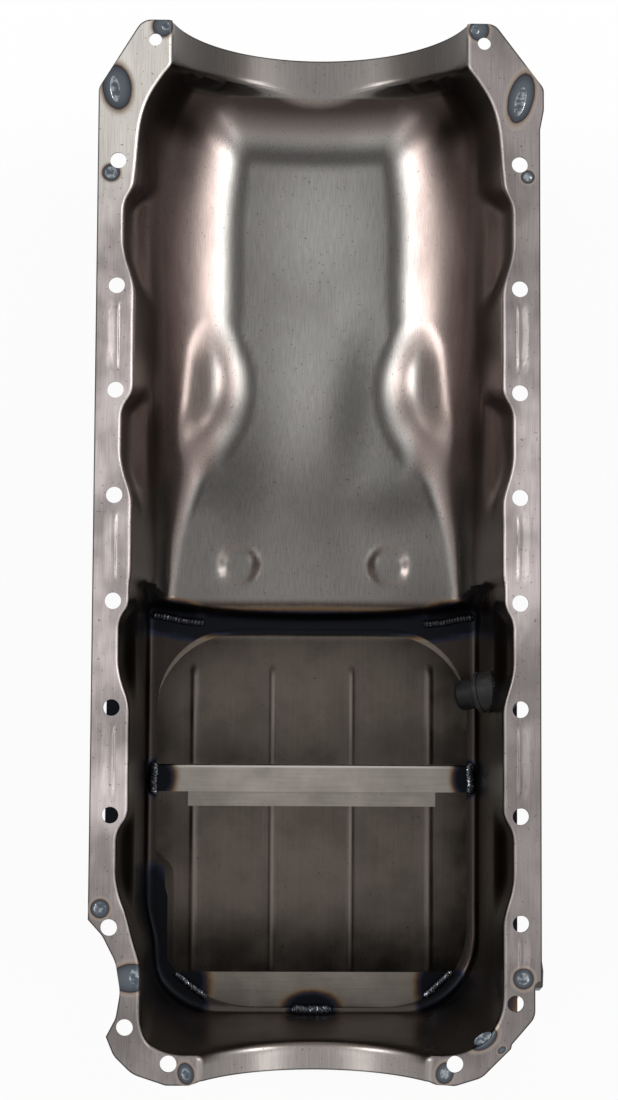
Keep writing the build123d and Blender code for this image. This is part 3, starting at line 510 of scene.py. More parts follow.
def cut_away(obj, cutter):
    """The object less the cutter, which is then thrown away."""
    boolean = obj.modifiers.new("cut", "BOOLEAN")
    boolean.operation, boolean.solver, boolean.object = "DIFFERENCE", "EXACT", cutter
    settled(obj)
    bpy.data.objects.remove(cutter)


print("cutting tools ready")

# %% Cut the outline, holes, opening and port
bm = bmesh.new()
waste_ring(bm, trim, border, -70, 10)
for holes, hole_r in ((RAIL_HOLES, RAIL_HOLE_R), (CORNER_HOLES, CORNER_HOLE_R)):
    for hole in holes:
        prism(bm, arc(hole, hole_r, 0, 360 - 360 / HOLE_SIDES, HOLE_SIDES), -8, 8)
prism(bm, rounded(OPENING, 16), -110, -90)
near, far = (
    [bm.verts.new(p * MM) for p in ring_points(end, PORT_AXIS, PORT_HOLE_R, PORT_SIDES)]
    for end in (PORT_AT - PORT_AXIS * PORT_REACH, PORT_AT + PORT_AXIS * PORT_REACH)
)
for k in range(PORT_SIDES):
    bm.faces.new((near[k - 1], near[k], far[k], far[k - 1]))
bm.faces.new(near)
bm.faces.new(far[::-1])
cut_away(pressing, object_from(bm, "trim_tool"))
print("trimmed sheet:", len(pressing.data.polygons), "faces")


# %% Smooth shading with crisp cut edges
def shade(obj, degrees=32):
    """Smooth faces, with the edges sharper than the angle kept crisp."""
    obj.data.polygons.foreach_set("use_smooth", [True] * len(obj.data.polygons))
    obj.data.set_sharp_from_angle(angle=math.radians(degrees))
    return obj


def part_of_pan(obj, finish, slot, *replaced):
    """Gives a finished piece its material and fixes it to the pan. The slot is not used."""
    obj.data.materials.clear()
    obj.data.materials.append(finish)
    if replaced:
        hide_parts(*replaced)
    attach(obj, "pan")


print("shading and fixing helpers ready")

# %% [markdown]
# ## Short ways to add nodes
# A finish is a small network of nodes, and written out in full it hides what it says. A few
# helpers keep the finishes readable: one adds a node, some work a sum, one eases between two
# limits and one mixes two colours. Another gives cloudy patches of a size in millimetres,
# stretched where the rolling or the brushing stretched them. A wired value knows its own tree,
# so only the helper that adds a bare node is told which tree it works in.

# %% Node helpers
def add_node(tree, kind, inputs=None, **settings):
    """A node with its settings, its inputs set to values or wired to other nodes' outputs."""
    node = tree.nodes.new(kind)
    for name, value in settings.items():
        setattr(node, name, value)
    for key, value in (inputs or {}).items():
        if isinstance(value, bpy.types.NodeSocket):
            tree.links.new(value, node.inputs[key])
        else:
            node.inputs[key].default_value = value
    return node


def tree_of(*values):
    """The node tree that the first wired value belongs to."""
    return next(value for value in values if isinstance(value, bpy.types.NodeSocket)).id_data


def maths(operation, *values):
    """One step of a Math node."""
    inputs = dict(enumerate(values))
    return add_node(tree_of(*values), "ShaderNodeMath", inputs, operation=operation).outputs[0]


def chain(operation):
    """A helper that works one operation through its values, from the first to the last."""
    return lambda *values: functools.reduce(lambda a, b: maths(operation, a, b), values)


plus, minus, times, over = (chain(name) for name in ("ADD", "SUBTRACT", "MULTIPLY", "DIVIDE"))
larger, smaller = chain("MAXIMUM"), chain("MINIMUM")


def vectors(operation, *values):
    """One step of a Vector Math node, which gives a number for DOT_PRODUCT and LENGTH."""
    inputs = {3 if operation == "SCALE" and k == 1 else k: value for k, value in enumerate(values)}
    node = add_node(tree_of(*values), "ShaderNodeVectorMath", inputs, operation=operation)
    return node.outputs[1 if operation in ("DOT_PRODUCT", "LENGTH") else 0]


def eased(value, low, high, start=0.0, end=1.0):
    """start while the value is below low, end once it is above high, and a smooth way between."""
    limits = {"Value": value, "From Min": low, "From Max": high, "To Min": start, "To Max": end}
    return add_node(
        value.id_data, "ShaderNodeMapRange", limits, interpolation_type="SMOOTHSTEP"
    ).outputs[0]


def eased_mm(value, low, high, start=0.0, end=1.0):
    """The same for a place, with its limits in millimetres."""
    return eased(value, low * MM, high * MM, start, end)


def band(value, rise_from, rise_to, fall_from, fall_to, top=1.0):
    """top between the two middle limits, 0 outside all four, and a smooth way between."""
    return times(eased(value, rise_from, rise_to), eased(value, fall_from, fall_to, top, 0))


def split(vector):
    """The x, y and z of a vector."""
    return add_node(vector.id_data, "ShaderNodeSeparateXYZ", {0: vector}).outputs


# %% Colour helpers
def mixed(share, first, second, way="MIX"):
    """Two colours mixed by a share."""
    first, second = (
        (*c, 1) if isinstance(c, tuple) and len(c) == 3 else c for c in (first, second)
    )
    return add_node(
        tree_of(share, first, second), "ShaderNodeMix", {0: share, 6: first, 7: second},
        data_type="RGBA", blend_type=way,
    ).outputs[2]


def laid_over(colour, *layers):
    """The colour with layers laid over it in turn, each a share and a colour."""
    for share, layer in layers:
        colour = mixed(share, colour, layer)
    return colour


def streaked(colour, streaks, low, high, darker, paler):
    """The colour made a little darker and paler along streaks."""
    tone = eased(streaks, low, high, darker, paler)
    grey = add_node(tone.id_data, "ShaderNodeCombineColor", {0: tone, 1: tone, 2: tone}).outputs[0]
    return mixed(1.0, colour, grey, "MULTIPLY")


def patches(place, size, stretch=(1, 1, 1), detail=3.0, seed=0.0):
    """Cloudy patches about size millimetres wide, stretched along the axes."""
    spread = add_node(place.id_data, "ShaderNodeMapping", {
        "Vector": place, "Scale": [1000.0 / (size * s) for s in stretch],
        "Location": (seed, 1.7 * seed, 2.3 * seed),
    }).outputs[0]
    return add_node(place.id_data, "ShaderNodeTexNoise", {
        "Vector": spread, "Scale": 1.0, "Detail": detail, "Roughness": 0.55,
    }).outputs[0]


def begin_finish(name):
    """A new material, its shader and the place of the shaded point on the object."""
    material = bpy.data.materials.new(name)
    material.use_nodes = True
    place = add_node(material.node_tree, "ShaderNodeTexCoord").outputs["Object"]
    return material, material.node_tree.nodes["Principled BSDF"], place


def end_finish(shader, colour, roughness, metallic, heights, strength=0.5):
    """Wires a finish up: colour, roughness, metallic, and heights in millimetres as bump."""
    tree = shader.id_data
    tree.links.new(colour, shader.inputs["Base Color"])
    tree.links.new(roughness, shader.inputs["Roughness"])
    shader.inputs["Metallic"].default_value = metallic
    parts = [times(height, depth * MM) for height, depth in heights]
    total = plus(*parts)
    bump = add_node(tree, "ShaderNodeBump", {"Height": total, "Strength": strength, "Distance": 1})
    tree.links.new(bump.outputs[0], shader.inputs["Normal"])


print("node and colour helpers ready")

# %% [markdown]
# ## Heat colours
# Welding leaves a mark that is wider than the bead: black scale beside it, then blue, purple and
# brown rings, and last a straw yellow where the steel only just got hot. The rings could be
# painted, but they always follow the distance from the bead. So each weld gives a soft
# ellipse, the nearest one wins, and a colour ramp turns that distance into the rings.

# %% Distance to the nearest weld
def distance_from(place, centre, halves, turn=0):
    """Distance from a centre in millimetres, measured in half widths along turned axes."""
    local = add_node(place.id_data, "ShaderNodeMapping", {
        "Vector": place,
        "Location": [c * MM for c in centre],
        "Rotation": (0, 0, math.radians(turn)),
        "Scale": halves,
    }, vector_type="TEXTURE").outputs[0]
    return vectors("LENGTH", local)


def heat_distance(place, marks, wobble):
    """Distance to the nearest mark, 1 at its rim: (x, y, z, half_x, half_y, half_z, turn)."""
    nearest = smaller(*(
        distance_from(place, mark[:3], [half * MM for half in mark[3:6]], mark[6]) for mark in marks
    ))
    return plus(nearest, times(minus(patches(place, 5.0), 0.5), wobble))


def heat_rings(distance, stops):
    """The ring colours at a distance from 0 to 2."""
    rings = add_node(distance.id_data, "ShaderNodeValToRGB", {0: times(distance, 0.5)})
    elements = rings.color_ramp.elements
    for k, (at, colour) in enumerate(stops):
        element = elements[k] if k < 2 else elements.new(at / 2)
        element.position, element.color = at / 2, (*colour, 1)
    return rings.outputs[0]


# %% Ring colours and where the marks are
BLACK_SCALE = (
    (0.0, (0.008, 0.008, 0.009)), (0.85, (0.008, 0.009, 0.012)), (0.97, (0.018, 0.020, 0.032)),
    (1.06, (0.035, 0.025, 0.026)), (1.18, (0.10, 0.062, 0.034)), (1.4, (0.19, 0.145, 0.10)),
)
BLUE_MARK = (
    (0.0, (0.105, 0.120, 0.130)), (0.6, (0.080, 0.092, 0.104)), (0.90, (0.050, 0.056, 0.066)),
    (0.98, (0.03, 0.022, 0.025)), (1.05, (0.19, 0.15, 0.12)), (1.3, (0.33, 0.28, 0.24)),
)
RAIL_MARKS = [(x, y, 0, half_x, half_y, 5, turn) for x, y, half_x, half_y, turn in (
    (-110.0, 250.0, 7.8, 12.3, 8), (109.5, 246.5, 6.8, 14.0, -14),
    (-112.5, 203.0, 4.7, 4.7, 0), (113.0, 203.0, 3.6, 3.6, 0),
    (-113.5, -190.5, 4.9, 4.9, 0), (-96.5, -226.6, 11.0, 7.4, 3),
    (88.5, -257.5, 8.2, 5.4, 32), (110.0, -226.5, 5.4, 5.4, 0),
    (98.5, -263.5, 2.4, 1.6, 40), (-85.5, 284.0, 5.5, 5.8, 0), (86.5, 284.0, 5.5, 5.8, 0),
    (-67.5, -276.0, 4.2, 5.6, 15), (68.5, -275.5, 4.6, 5.6, -15),
)]
WELL_MARKS = [
    (0.0, -40.5, -97.0, 103.0, 11.2, 11.0, 0), (-84.0, -34.5, -96.0, 19.0, 10.0, 14.0, 0),
    (84.0, -34.5, -96.0, 19.0, 10.0, 14.0, 0), (-91.0, -127.5, -99.0, 6.0, 12.0, 9.0, 0),
    (91.0, -127.5, -99.0, 6.0, 12.0, 9.0, 0), (-75.0, -249.0, -100.0, 19.0, 10.0, 11.0, -42),
    (75.0, -249.0, -100.0, 17.0, 8.5, 11.0, 42), (0.5, -262.0, -100.0, 15.0, 5.5, 9.0, 0),
    (-87.0, -211.0, -101.0, 9.5, 36.0, 9.0, 8),
]
SMUDGES = [
    (22.0, 92.0, -83, 15, 52, 30, -4), (-46.0, 45.0, -86, 22, 30, 30, 20),
    (46.0, 30.0, -87, 30, 18, 30, 0),
]
WIPED = [(-10.0, 104.0, -83, 22, 50, 30, 0), (4.0, 190.0, -81, 34, 46, 30, 0)]
print("rail marks", len(RAIL_MARKS), "well marks", len(WELL_MARKS))

# %% [markdown]
# ## Where the sheet is tilted
# The hollow radii get a painted shade, a dark band for the dark surroundings they mirror, and the
# shoulders a painted reflection, a lighter tone. Both follow how far the surface leans over. A
# material could read that from the normal, but the normal is roughened by bump and turns with the
# object. So the lean is worked out once from the space's rule and kept on the mesh as an attribute.
# A second attribute keeps the distance to the sheared rim, along which a dark reflection is
# painted.

# %% Lean of the sheet
def positions(obj):
    """The mesh's points in millimetres."""
    flat_list = np.empty(len(obj.data.vertices) * 3)
    obj.data.vertices.foreach_get("co", flat_list)
    return flat_list.reshape(-1, 3) / MM


points = positions(pressing)
lean = np.degrees(np.arccos(np.clip(-surface_normal(*points.T)[:, 2], -1, 1)))
pressing.data.attributes.new("lean", "FLOAT", "POINT").data.foreach_set("value", lean / 90.0)
rim = np.full(len(points), 50.0)
for (x0, y0), (x1, y1) in zip(trim, trim[1:] + trim[:1]):
    from_x, from_y, side_x, side_y = points[:, 0] - x0, points[:, 1] - y0, x1 - x0, y1 - y0
    share = np.clip((from_x * side_x + from_y * side_y) / (side_x**2 + side_y**2), 0, 1)
    rim = np.minimum(rim, np.hypot(from_x - share * side_x, from_y - share * side_y))
pressing.data.attributes.new("rim", "FLOAT", "POINT").data.foreach_set("value", rim)
print("lean from", round(float(lean.min()), 1), "to", round(float(lean.max()), 1), "degrees")
print("points within 1 mm of the sheared rim:", int((rim < 1).sum()))

# %% [markdown]
# ## Drawn steel
# The pressing is one sheet, but it doesn't look like one finish. The rail was flattened and
# wiped along its length, the bay floor is satin with grey smudges of drawing oil, and the deep
# walls are browner. One material can hold all of this if the shaded point's place says where on
# the pan it is, and then the zones have soft borders, as on real metal.

# %% Zones of the pressing
drawn_steel, shader, place = begin_finish("drawn_steel")
at_x, at_y, at_z = split(place)
across = maths("ABSOLUTE", at_x)
lean_share, rim_away = (
    add_node(drawn_steel.node_tree, "ShaderNodeAttribute", attribute_name=kept).outputs["Fac"]
    for kept in ("lean", "rim")
)
rail_share = eased_mm(at_z, -1.6, -0.5)
bay_share = eased_mm(at_y, -27, -22)
floor_share = times(eased_mm(at_z, -76, -56, 1, 0), bay_share)
land_share = larger(eased_mm(at_y, 264.0, 265.6), eased_mm(at_y, -268.5, -266.5, 1, 0))
front_light = eased_mm(at_y, 10, 130)
behind_dents = eased_mm(at_y, 40, 60, 1, 0)
cloud = patches(place, 34.0, (1, 1.6, 1), 3.0)
smear = patches(place, 95.0, (0.8, 1.3, 1), 1.5, 5.0)
grain = patches(place, 0.9, (1, 1, 1), 2.0, 2.0)
brushing = patches(place, 0.35, (1, 60, 1), 1.0, 3.0)
pits = eased(patches(place, 1.7, (1, 1, 1), 1.0, 9.0), 0.68, 0.76)
print("zones and patterns:", len(drawn_steel.node_tree.nodes), "nodes")

# %% Colours of the walls and the bay floor
wall_colour = laid_over(
    mixed(cloud, (0.085, 0.062, 0.054), (0.17, 0.132, 0.118)),
    # Painted reflection: the bay's walls lighter where they lean part way over, except at the
    # front.
    (times(band(lean_share, 0.40, 0.52, 0.62, 0.80, 0.75), eased_mm(at_y, 228, 246, 1, 0)),
     (0.30, 0.235, 0.215)),
)
oiled = eased(heat_distance(place, SMUDGES, 0.35), 0.15, 1.3, 0.75, 0)
wiped = eased(heat_distance(place, WIPED, 0.25), 0.1, 1.35, 0.6, 0)
floor_colour = laid_over(
    mixed(
        eased(smear, 0.30, 0.70),
        mixed(front_light, (0.110, 0.102, 0.096), (0.225, 0.216, 0.205)),
        mixed(front_light, (0.165, 0.157, 0.149), (0.37, 0.36, 0.342)),
    ),
    (wiped, (0.37, 0.36, 0.345)),
    (oiled, (0.085, 0.080, 0.076)),
)
well_colour = laid_over(
    mixed(cloud, (0.034, 0.027, 0.023), (0.066, 0.053, 0.045)),
    # Painted reflection: the well's rear wall lighter.
    (eased_mm(at_y, -262, -252, 1, 0), (0.13, 0.108, 0.094)),
    (eased_mm(at_z, -99, -96, 0.55, 0), (0.014, 0.012, 0.011)),
)
print("with walls, floor and well:", len(drawn_steel.node_tree.nodes), "nodes")

# %% Colours of the rail and the seal lands
# Painted shade: the rail darker along its right side and its rear, most towards the ends.
shaded_side = larger(eased_mm(at_x, -20, 110), eased_mm(at_y, -230, -130, 1, 0))
from_middle = maths("ABSOLUTE", minus(at_y, 20 * MM))
shaded_side = times(shaded_side, eased_mm(from_middle, 45, 115, 0.12, 0.66))
# Painted highlight: the rail's left front lighter.
lit_end = times(eased_mm(at_y, 150, 235), eased_mm(at_x, -60, 0.0, 0.75, 0))
rail_colour = laid_over(
    mixed(eased(cloud, 0.36, 0.64), (0.24, 0.212, 0.206), (0.46, 0.41, 0.405)),
    (shaded_side, (0.12, 0.108, 0.104)),
    (lit_end, (0.60, 0.575, 0.53)),
)
# Painted reflection: the front seal land lighter in the middle and darker on its flanks.
front_land = mixed(eased_mm(across, 14, 46), (0.20, 0.185, 0.175), (0.085, 0.076, 0.070))
land_colour = mixed(eased_mm(at_y, 0.0, 1.0), (0.26, 0.236, 0.222), front_land)
print("with rail and lands:", len(drawn_steel.node_tree.nodes), "nodes")

# %% Zones laid over each other
# Painted reflection: the bay's shoulders a lighter tone where they lean part way over.
shoulder = times(band(lean_share, 0.20, 0.32, 0.50, 0.66), eased_mm(at_y, 8, 24, 0.6, 1))
# Painted shade: a dark band where the bay floor bends up into its shoulders, kept off the dents and
# the bay's rear edge.
hollow_shade = times(band(lean_share, 0.0, 0.13, 0.15, 0.27), times(floor_share, 0.9))
hollow_shade = times(
    hollow_shade, larger(eased_mm(across, 48, 58, 1, 0), behind_dents), eased_mm(at_y, 14, 34)
)
beside = larger(eased_mm(across, 54, 63, 1, 0.15), behind_dents)
# Painted shade: the front of the bay darker where it leans over.
front_shade = times(eased(lean_share, 0.24, 0.42), eased_mm(at_y, 230, 247))
colour = laid_over(
    mixed(bay_share, well_colour, wall_colour),
    (times(floor_share, beside), floor_colour),
    (times(shoulder, times(bay_share, 0.8)), (0.185, 0.148, 0.137)),
    (hollow_shade, (0.060, 0.056, 0.053)),
    (times(front_shade, 0.88), (0.028, 0.021, 0.018)),
    (land_share, land_colour),
    (rail_share, rail_colour),
)
colour = laid_over(
    streaked(colour, brushing, 0.35, 0.65, 0.88, 1.06),
    (times(pits, 0.55), (0.05, 0.042, 0.038)),
    # Painted shade: a dark reflection along the sheared rim.
    (eased(rim_away, 0.35, 0.95, 0.9, 0), (0.03, 0.027, 0.026)),
)
print("with all zones laid over each other:", len(drawn_steel.node_tree.nodes), "nodes")

# %% Heat marks, roughness and relief of the pressing
rail_heat = heat_distance(place, RAIL_MARKS, 0.10)
well_heat = heat_distance(place, WELL_MARKS, 0.20)
marked = add_node(drawn_steel.node_tree, "ShaderNodeMix", {
    0: eased_mm(at_z, -94, -91),
    2: eased(well_heat, 0.96, 1.14, 1, 0),
    3: eased(well_heat, 1.10, 1.45, 1, 0),
}).outputs[0]
colour = laid_over(
    colour,
    (eased(rail_heat, 1.02, 1.45, 1, 0), heat_rings(rail_heat, BLUE_MARK)),
    (marked, heat_rings(well_heat, BLACK_SCALE)),
)
roughness = plus(
    eased(cloud, 0.3, 0.7, 0.27, 0.35), times(rail_share, 0.10),
    eased(well_heat, 0.9, 1.2, 0.14, 0),
)
end_finish(shader, colour, roughness, 1.0, ((grain, 0.010), (brushing, 0.004)), 0.6)
part_of_pan(shade(pressing), drawn_steel, "bare_steel", "upper_pressing")
print("drawn steel nodes:", len(drawn_steel.node_tree.nodes))

# %% [markdown]
# ## The sump shell
# Front wall, floor and rear wall of the sump are one folded sheet, and four long beads keep the
# floor from drumming. The sheet could be a thick plane with a bend modifier, but its section is
# known exactly: a path down, round a 5 mm bend, along and up again. The path is swept across
# the pan, and the beads lift the floor by a smooth rule of the distance from their centre lines.

# %% Section and beads of the folded sheet
BOX_FRONT, BOX_REAR, FLOOR_Z, BEND = -38.0, -270.0, -200.0, 5.0
RIB_X = [2.0 + (k - 1.5) * 49.7 for k in range(4)]
RIB_ENDS = (-65.5, -253.0)
RIB_HEIGHT = 0.45
WALL_ROWS = (-103.5, -140.0, -180.0)


def fold_path(inset):
    """Points down the front wall, along the floor and up the rear wall, inset by so much."""
    front, rear = BOX_FRONT - inset, BOX_REAR + inset
    low, r = FLOOR_Z - SHEET + inset, BEND + SHEET - inset
    quarter = np.radians(np.linspace(0, 90, 9))
    path = [(front, z) for z in WALL_ROWS]
    path += [(front - r + r * math.cos(t), low + r - r * math.sin(t)) for t in quarter]
    path += [(y, low) for y in np.linspace(front - r, rear + r, 120)[1:-1]]
    path += [(rear + r - r * math.sin(t), low + r - r * math.cos(t)) for t in quarter]
    return path + [(rear, z) for z in WALL_ROWS[::-1]]


def rib_rise(x, y):
    """How far the floor's beads lift it at a place."""
    nearest = min(abs(x - centre) for centre in RIB_X)
    along_end = max(y - RIB_ENDS[0], RIB_ENDS[1] - y, 0.0)
    return RIB_HEIGHT * float(1 - ramp(math.hypot(nearest, along_end * 0.8), 0.3, 3.2))


def ring_of(skin):
    """The vertices round a skin's four sides."""
    far_side, near_side = [line[-1] for line in skin[1:]], [line[0] for line in skin[-2:0:-1]]
    return skin[0] + far_side + skin[-1][-2::-1] + near_side


offsets = (-3.3, -2.6, -2.0, -1.4, -0.8, 0, 0.8, 1.4, 2.0, 2.6, 3.3)
beside_ribs = [centre + offset for centre in RIB_X for offset in offsets]
sheet_x = sorted([-118.4, 118.4, *np.linspace(-112, 112, 15), *beside_ribs])
bm = bmesh.new()
skins = []
for inset in (SHEET, 0.0):
    skin = []
    for x in sheet_x:
        lifted = [
            (y, z + (rib_rise(x, y) if z < FLOOR_Z + 1 else 0)) for y, z in fold_path(inset)
        ]
        skin.append([bm.verts.new((x * MM, y * MM, z * MM)) for y, z in lifted])
    for line, next_line in zip(skin, skin[1:]):
        for j in range(len(line) - 1):
            bm.faces.new((line[j], next_line[j], next_line[j + 1], line[j + 1]))
    skins.append(skin)
inner_rim, outer_rim = (ring_of(skin) for skin in skins)
for k in range(len(inner_rim)):
    bm.faces.new((inner_rim[k - 1], inner_rim[k], outer_rim[k], outer_rim[k - 1]))
sump_shell = object_from(bm, "sump_shell")
bm = bmesh.new()
starter_room = [(-84.9, -300, 0), (-84.9, -189.3, 11.6), (-130, -146.5, 0), (-130, -300, 0)]
prism(bm, rounded(starter_room), -220, -90)
cut_away(sump_shell, object_from(bm, "starter_clearance"))
print("sump shell:", len(sump_shell.data.polygons), "faces")

# %% [markdown]
# ## Sump steel
# The sump is cut from a darker, hot-rolled sheet that still wears a thin brown film. It was left
# as it came from the mill: long faint streaks and specks of scale. The floor beads' crests and
# the crossbar's folded edge get painted highlights.

# %% A finish for rolled sheet
def sheet_finish(name, light, dark, stretch, marks, rough, scale, painted_highlights=lambda *place: ()):
    """Rolled sheet between two colours, with streaks along one axis and heat marks by the welds."""
    material, shader, place = begin_finish(name)
    cloud = patches(place, 30.0, (1, 1, 1), 4.0, 4.0)
    streaks = patches(place, 1.1, stretch, 3.0, 7.0)
    specks = eased(patches(place, 1.9, (1, 1, 1), 2.0, 6.0), 0.69, 0.76)
    grain = patches(place, 0.7, (1, 1, 1), 3.0, 8.0)
    heat = heat_distance(place, marks, 0.18)
    colour = mixed(eased(cloud, 0.32, 0.68), dark, light)
    colour = laid_over(
        streaked(colour, streaks, 0.3, 0.7, 0.94, 1.05),
        (times(specks, scale), (0.02, 0.018, 0.017)),
        # Painted highlights, where the finish is given any.
        *painted_highlights(*split(place)),
        (eased(heat, 1.12, 1.55, 1, 0), heat_rings(heat, BLACK_SCALE)),
    )
    roughness = plus(
        eased(cloud, 0.3, 0.7, rough - 0.05, rough + 0.06), eased(heat, 0.9, 1.2, 0.10, 0)
    )
    relief = ((grain, 0.012), (streaks, 0.006), (cloud, 0.12))
    end_finish(shader, colour, roughness, 1.0, relief, 0.6)
    return material


def rib_crest_highlights(x, y, z):
    """Painted highlights along the floor beads' crests: a layer for each."""
    for centre in RIB_X:
        away = maths("ABSOLUTE", minus(x, centre * MM))
        on_floor = times(eased_mm(away, 0.2, 1.7, 0.42, 0), eased_mm(z, -192, -186, 1, 0))
        crest = times(on_floor, eased_mm(y, -70, -64, 1, 0), eased_mm(y, -256, -250))
        yield crest, (0.30, 0.275, 0.25)


def fold_highlight(x, y, z):
    """A painted highlight along the crossbar's folded front edge."""
    yield eased_mm(y, CROSSBAR_EDGE - 2.2, CROSSBAR_EDGE - 0.8, 0, 0.8), (0.60, 0.565, 0.52)


CROSSBAR_EDGE = -119.5
BAR_MARKS = [
    (-91.5, -127.5, -98, 10.5, 11.5, 7, 0), (92.0, -127.5, -98, 9.0, 11.0, 7, 0),
    (-76.0, -247.0, -102, 15.0, 17.0, 8, 0), (76.0, -247.0, -102, 13.0, 17.0, 8, 0),
    (0.5, -260.5, -102, 14.5, 9.0, 8, 0),
]
PLATE_MARKS = [
    (0, -36, -102, 110, 9.0, 9, 0), (-92.0, -215.0, -102, 14.0, 42.0, 8, 4),
    (-70, -252, -102, 24, 17, 8, 0), (70, -252, -102, 20, 17, 8, 0),
    (109, -150, -101, 16, 115, 9, 0), (-109, -115, -101, 16, 85, 9, 0),
    (121.0, -249.9, -165, 5, 24, 24, 0),
]
print("marks on the strips", len(BAR_MARKS), "on the box", len(PLATE_MARKS))


# %% Four rolled sheets
def dress(finish, *names):
    """Gives CAD nodes that keep their shape their finish."""
    for name in names:
        obj = nodes[name]
        if not obj.material_slots:
            obj.data.materials.append(finish)
        for slot in obj.material_slots:
            slot.material = finish


ALONG_PAN, ACROSS_PAN = (1, 40, 40), (30, 1, 1)
sump_steel = sheet_finish(
    "sump_steel", (0.140, 0.119, 0.101), (0.084, 0.071, 0.061), ALONG_PAN, PLATE_MARKS,
    0.36, 0.8, rib_crest_highlights,
)
bar_steel = sheet_finish(
    "bar_steel", (0.275, 0.252, 0.225), (0.20, 0.182, 0.162), ACROSS_PAN, BAR_MARKS,
    0.34, 0.35, fold_highlight,
)
baffle_steel = sheet_finish(
    "baffle_steel", (0.235, 0.212, 0.190), (0.165, 0.148, 0.133), ACROSS_PAN, BAR_MARKS, 0.36, 0.35
)
shelf_steel = sheet_finish(
    "shelf_steel", (0.185, 0.168, 0.146), (0.125, 0.112, 0.097), ACROSS_PAN, BAR_MARKS, 0.34, 0.35
)
part_of_pan(shade(sump_shell), sump_steel, "bare_steel", "floor_wrap")
dress(sump_steel, "top_plate", "right_panel", "left_panel")
dress(bar_steel, "crossbar")
dress(baffle_steel, "slosh_baffle")
dress(shelf_steel, "rear_shelf")
print("strips dressed:", bar_steel.name, baffle_steel.name, shelf_steel.name)

# %% [markdown]
# ## Weld beads
# A welder moves in small steps, and each step freezes as a curved ripple, so a bead looks like a
# row of fallen coins. Instanced discs could make that, but they leave gaps between the coins.
# Here Geometry Nodes sweep a round section along the bead's line, flatten it towards the metal
# and raise it by a ripple rule: the distance along the line, bent back at the sides.

# %% Helpers for a geometry tree
def start_group(name, sockets):
    """A Geometry Nodes group with named inputs: the group, its inputs and its output node."""
    group = bpy.data.node_groups.new(name, "GeometryNodeTree")
    sockets = (("Geometry", "Geometry", None), *sockets, ("Material", "Material", None))
    for label, kind, default in sockets:
        socket = group.interface.new_socket(
            label, in_out="INPUT", socket_type="NodeSocket" + kind
        )
        if default is not None:
            socket.default_value = default
    group.interface.new_socket("Geometry", in_out="OUTPUT", socket_type="NodeSocketGeometry")
    return group, add_node(group, "NodeGroupInput").outputs, add_node(group, "NodeGroupOutput")


def end_group(geometry, given, out):
    """Smooths the geometry, makes it real, gives it its material and hands it out."""
    for kind, extra in (
        ("GeometryNodeSetShadeSmooth", {}), ("GeometryNodeRealizeInstances", {}),
        ("GeometryNodeSetMaterial", {"Material": given["Material"]}),
    ):
        geometry = add_node(out.id_data, kind, {"Geometry": geometry, **extra}).outputs[0]
    out.id_data.links.new(geometry, out.inputs[0])
    print(out.id_data.name, "tree nodes:", len(out.id_data.nodes))


def here(tree):
    """The place of the point that is being worked on."""
    return add_node(tree, "GeometryNodeInputPosition").outputs[0]


def noise_of(vector, seed, scale, detail):
    """Noise that a seed changes as a whole."""
    inputs = {"Vector": vector, "W": seed, "Scale": scale, "Detail": detail}
    return add_node(
        vector.id_data, "ShaderNodeTexNoise", inputs, noise_dimensions="4D"
    ).outputs[0]


# %% The bead's line and section
bead_group, given, bead_out = start_group("weld_bead", (
    ("Width", "Float", 0.005), ("Height", "Float", 0.002), ("Ripple", "Float", 0.0014),
    ("Facing", "Vector", (0, 0, 1)), ("Seed", "Float", 0.0), ("Round", "Float", 0.0),
))
line = add_node(bead_group, "GeometryNodeResampleCurve", {
    "Curve": given["Geometry"], "Length": times(given["Ripple"], 0.14)}, mode="LENGTH")
spline_at = add_node(bead_group, "GeometryNodeSplineParameter").outputs["Length"]
spline_all = add_node(bead_group, "GeometryNodeSplineLength").outputs["Length"]
half_width = times(given["Width"], 0.5)
near_end = over(smaller(spline_at, minus(spline_all, spline_at)), half_width)
bulge = minus(1.0, smaller(larger(near_end, given["Round"]), 1.0))
radius = times(half_width, maths("SQRT", minus(1.01, times(bulge, bulge))))
capture = add_node(bead_group, "GeometryNodeCaptureAttribute")
capture.capture_items.new("VECTOR", "spine")
capture.capture_items.new("FLOAT", "run")
for k, value in enumerate((line.outputs[0], here(bead_group), spline_at)):
    bead_group.links.new(value, capture.inputs[k])
section = add_node(bead_group, "GeometryNodeCurvePrimitiveCircle", {"Resolution": 18, "Radius": 1})
swept = add_node(bead_group, "GeometryNodeCurveToMesh", {
    "Curve": capture.outputs[0], "Profile Curve": section.outputs[0],
    "Scale": radius, "Fill Caps": True,
})
print("line and section nodes:", len(bead_group.nodes))

# %% The ripples
spine, run, facing = capture.outputs[1], capture.outputs[2], given["Facing"]
offset = vectors("SUBTRACT", here(bead_group), spine)
lift = vectors("DOT_PRODUCT", offset, facing)
flat = vectors("SUBTRACT", offset, vectors("SCALE", facing, lift))
aside = over(vectors("LENGTH", flat), half_width)
shaken = noise_of(spine, given["Seed"], 420.0, 2.0)
bent_back = times(aside, aside, 1.1)
phase = plus(over(run, given["Ripple"]), bent_back, times(shaken, 2.2))
scallop = maths("ABSOLUTE", maths("SINE", times(phase, math.pi)))
rise = times(plus(0.62, times(scallop, 0.38)), plus(0.75, times(shaken, 0.5)))
rise = times(rise, over(given["Height"], half_width))
sway = plus(0.78, times(shaken, 0.44))
moved = vectors("ADD", spine, vectors("SCALE", flat, sway))
moved = vectors("ADD", moved, vectors("SCALE", facing, times(lift, rise)))
shaped = add_node(bead_group, "GeometryNodeSetPosition", {
    "Geometry": swept.outputs[0], "Position": moved})
end_group(shaped.outputs[0], given, bead_out)


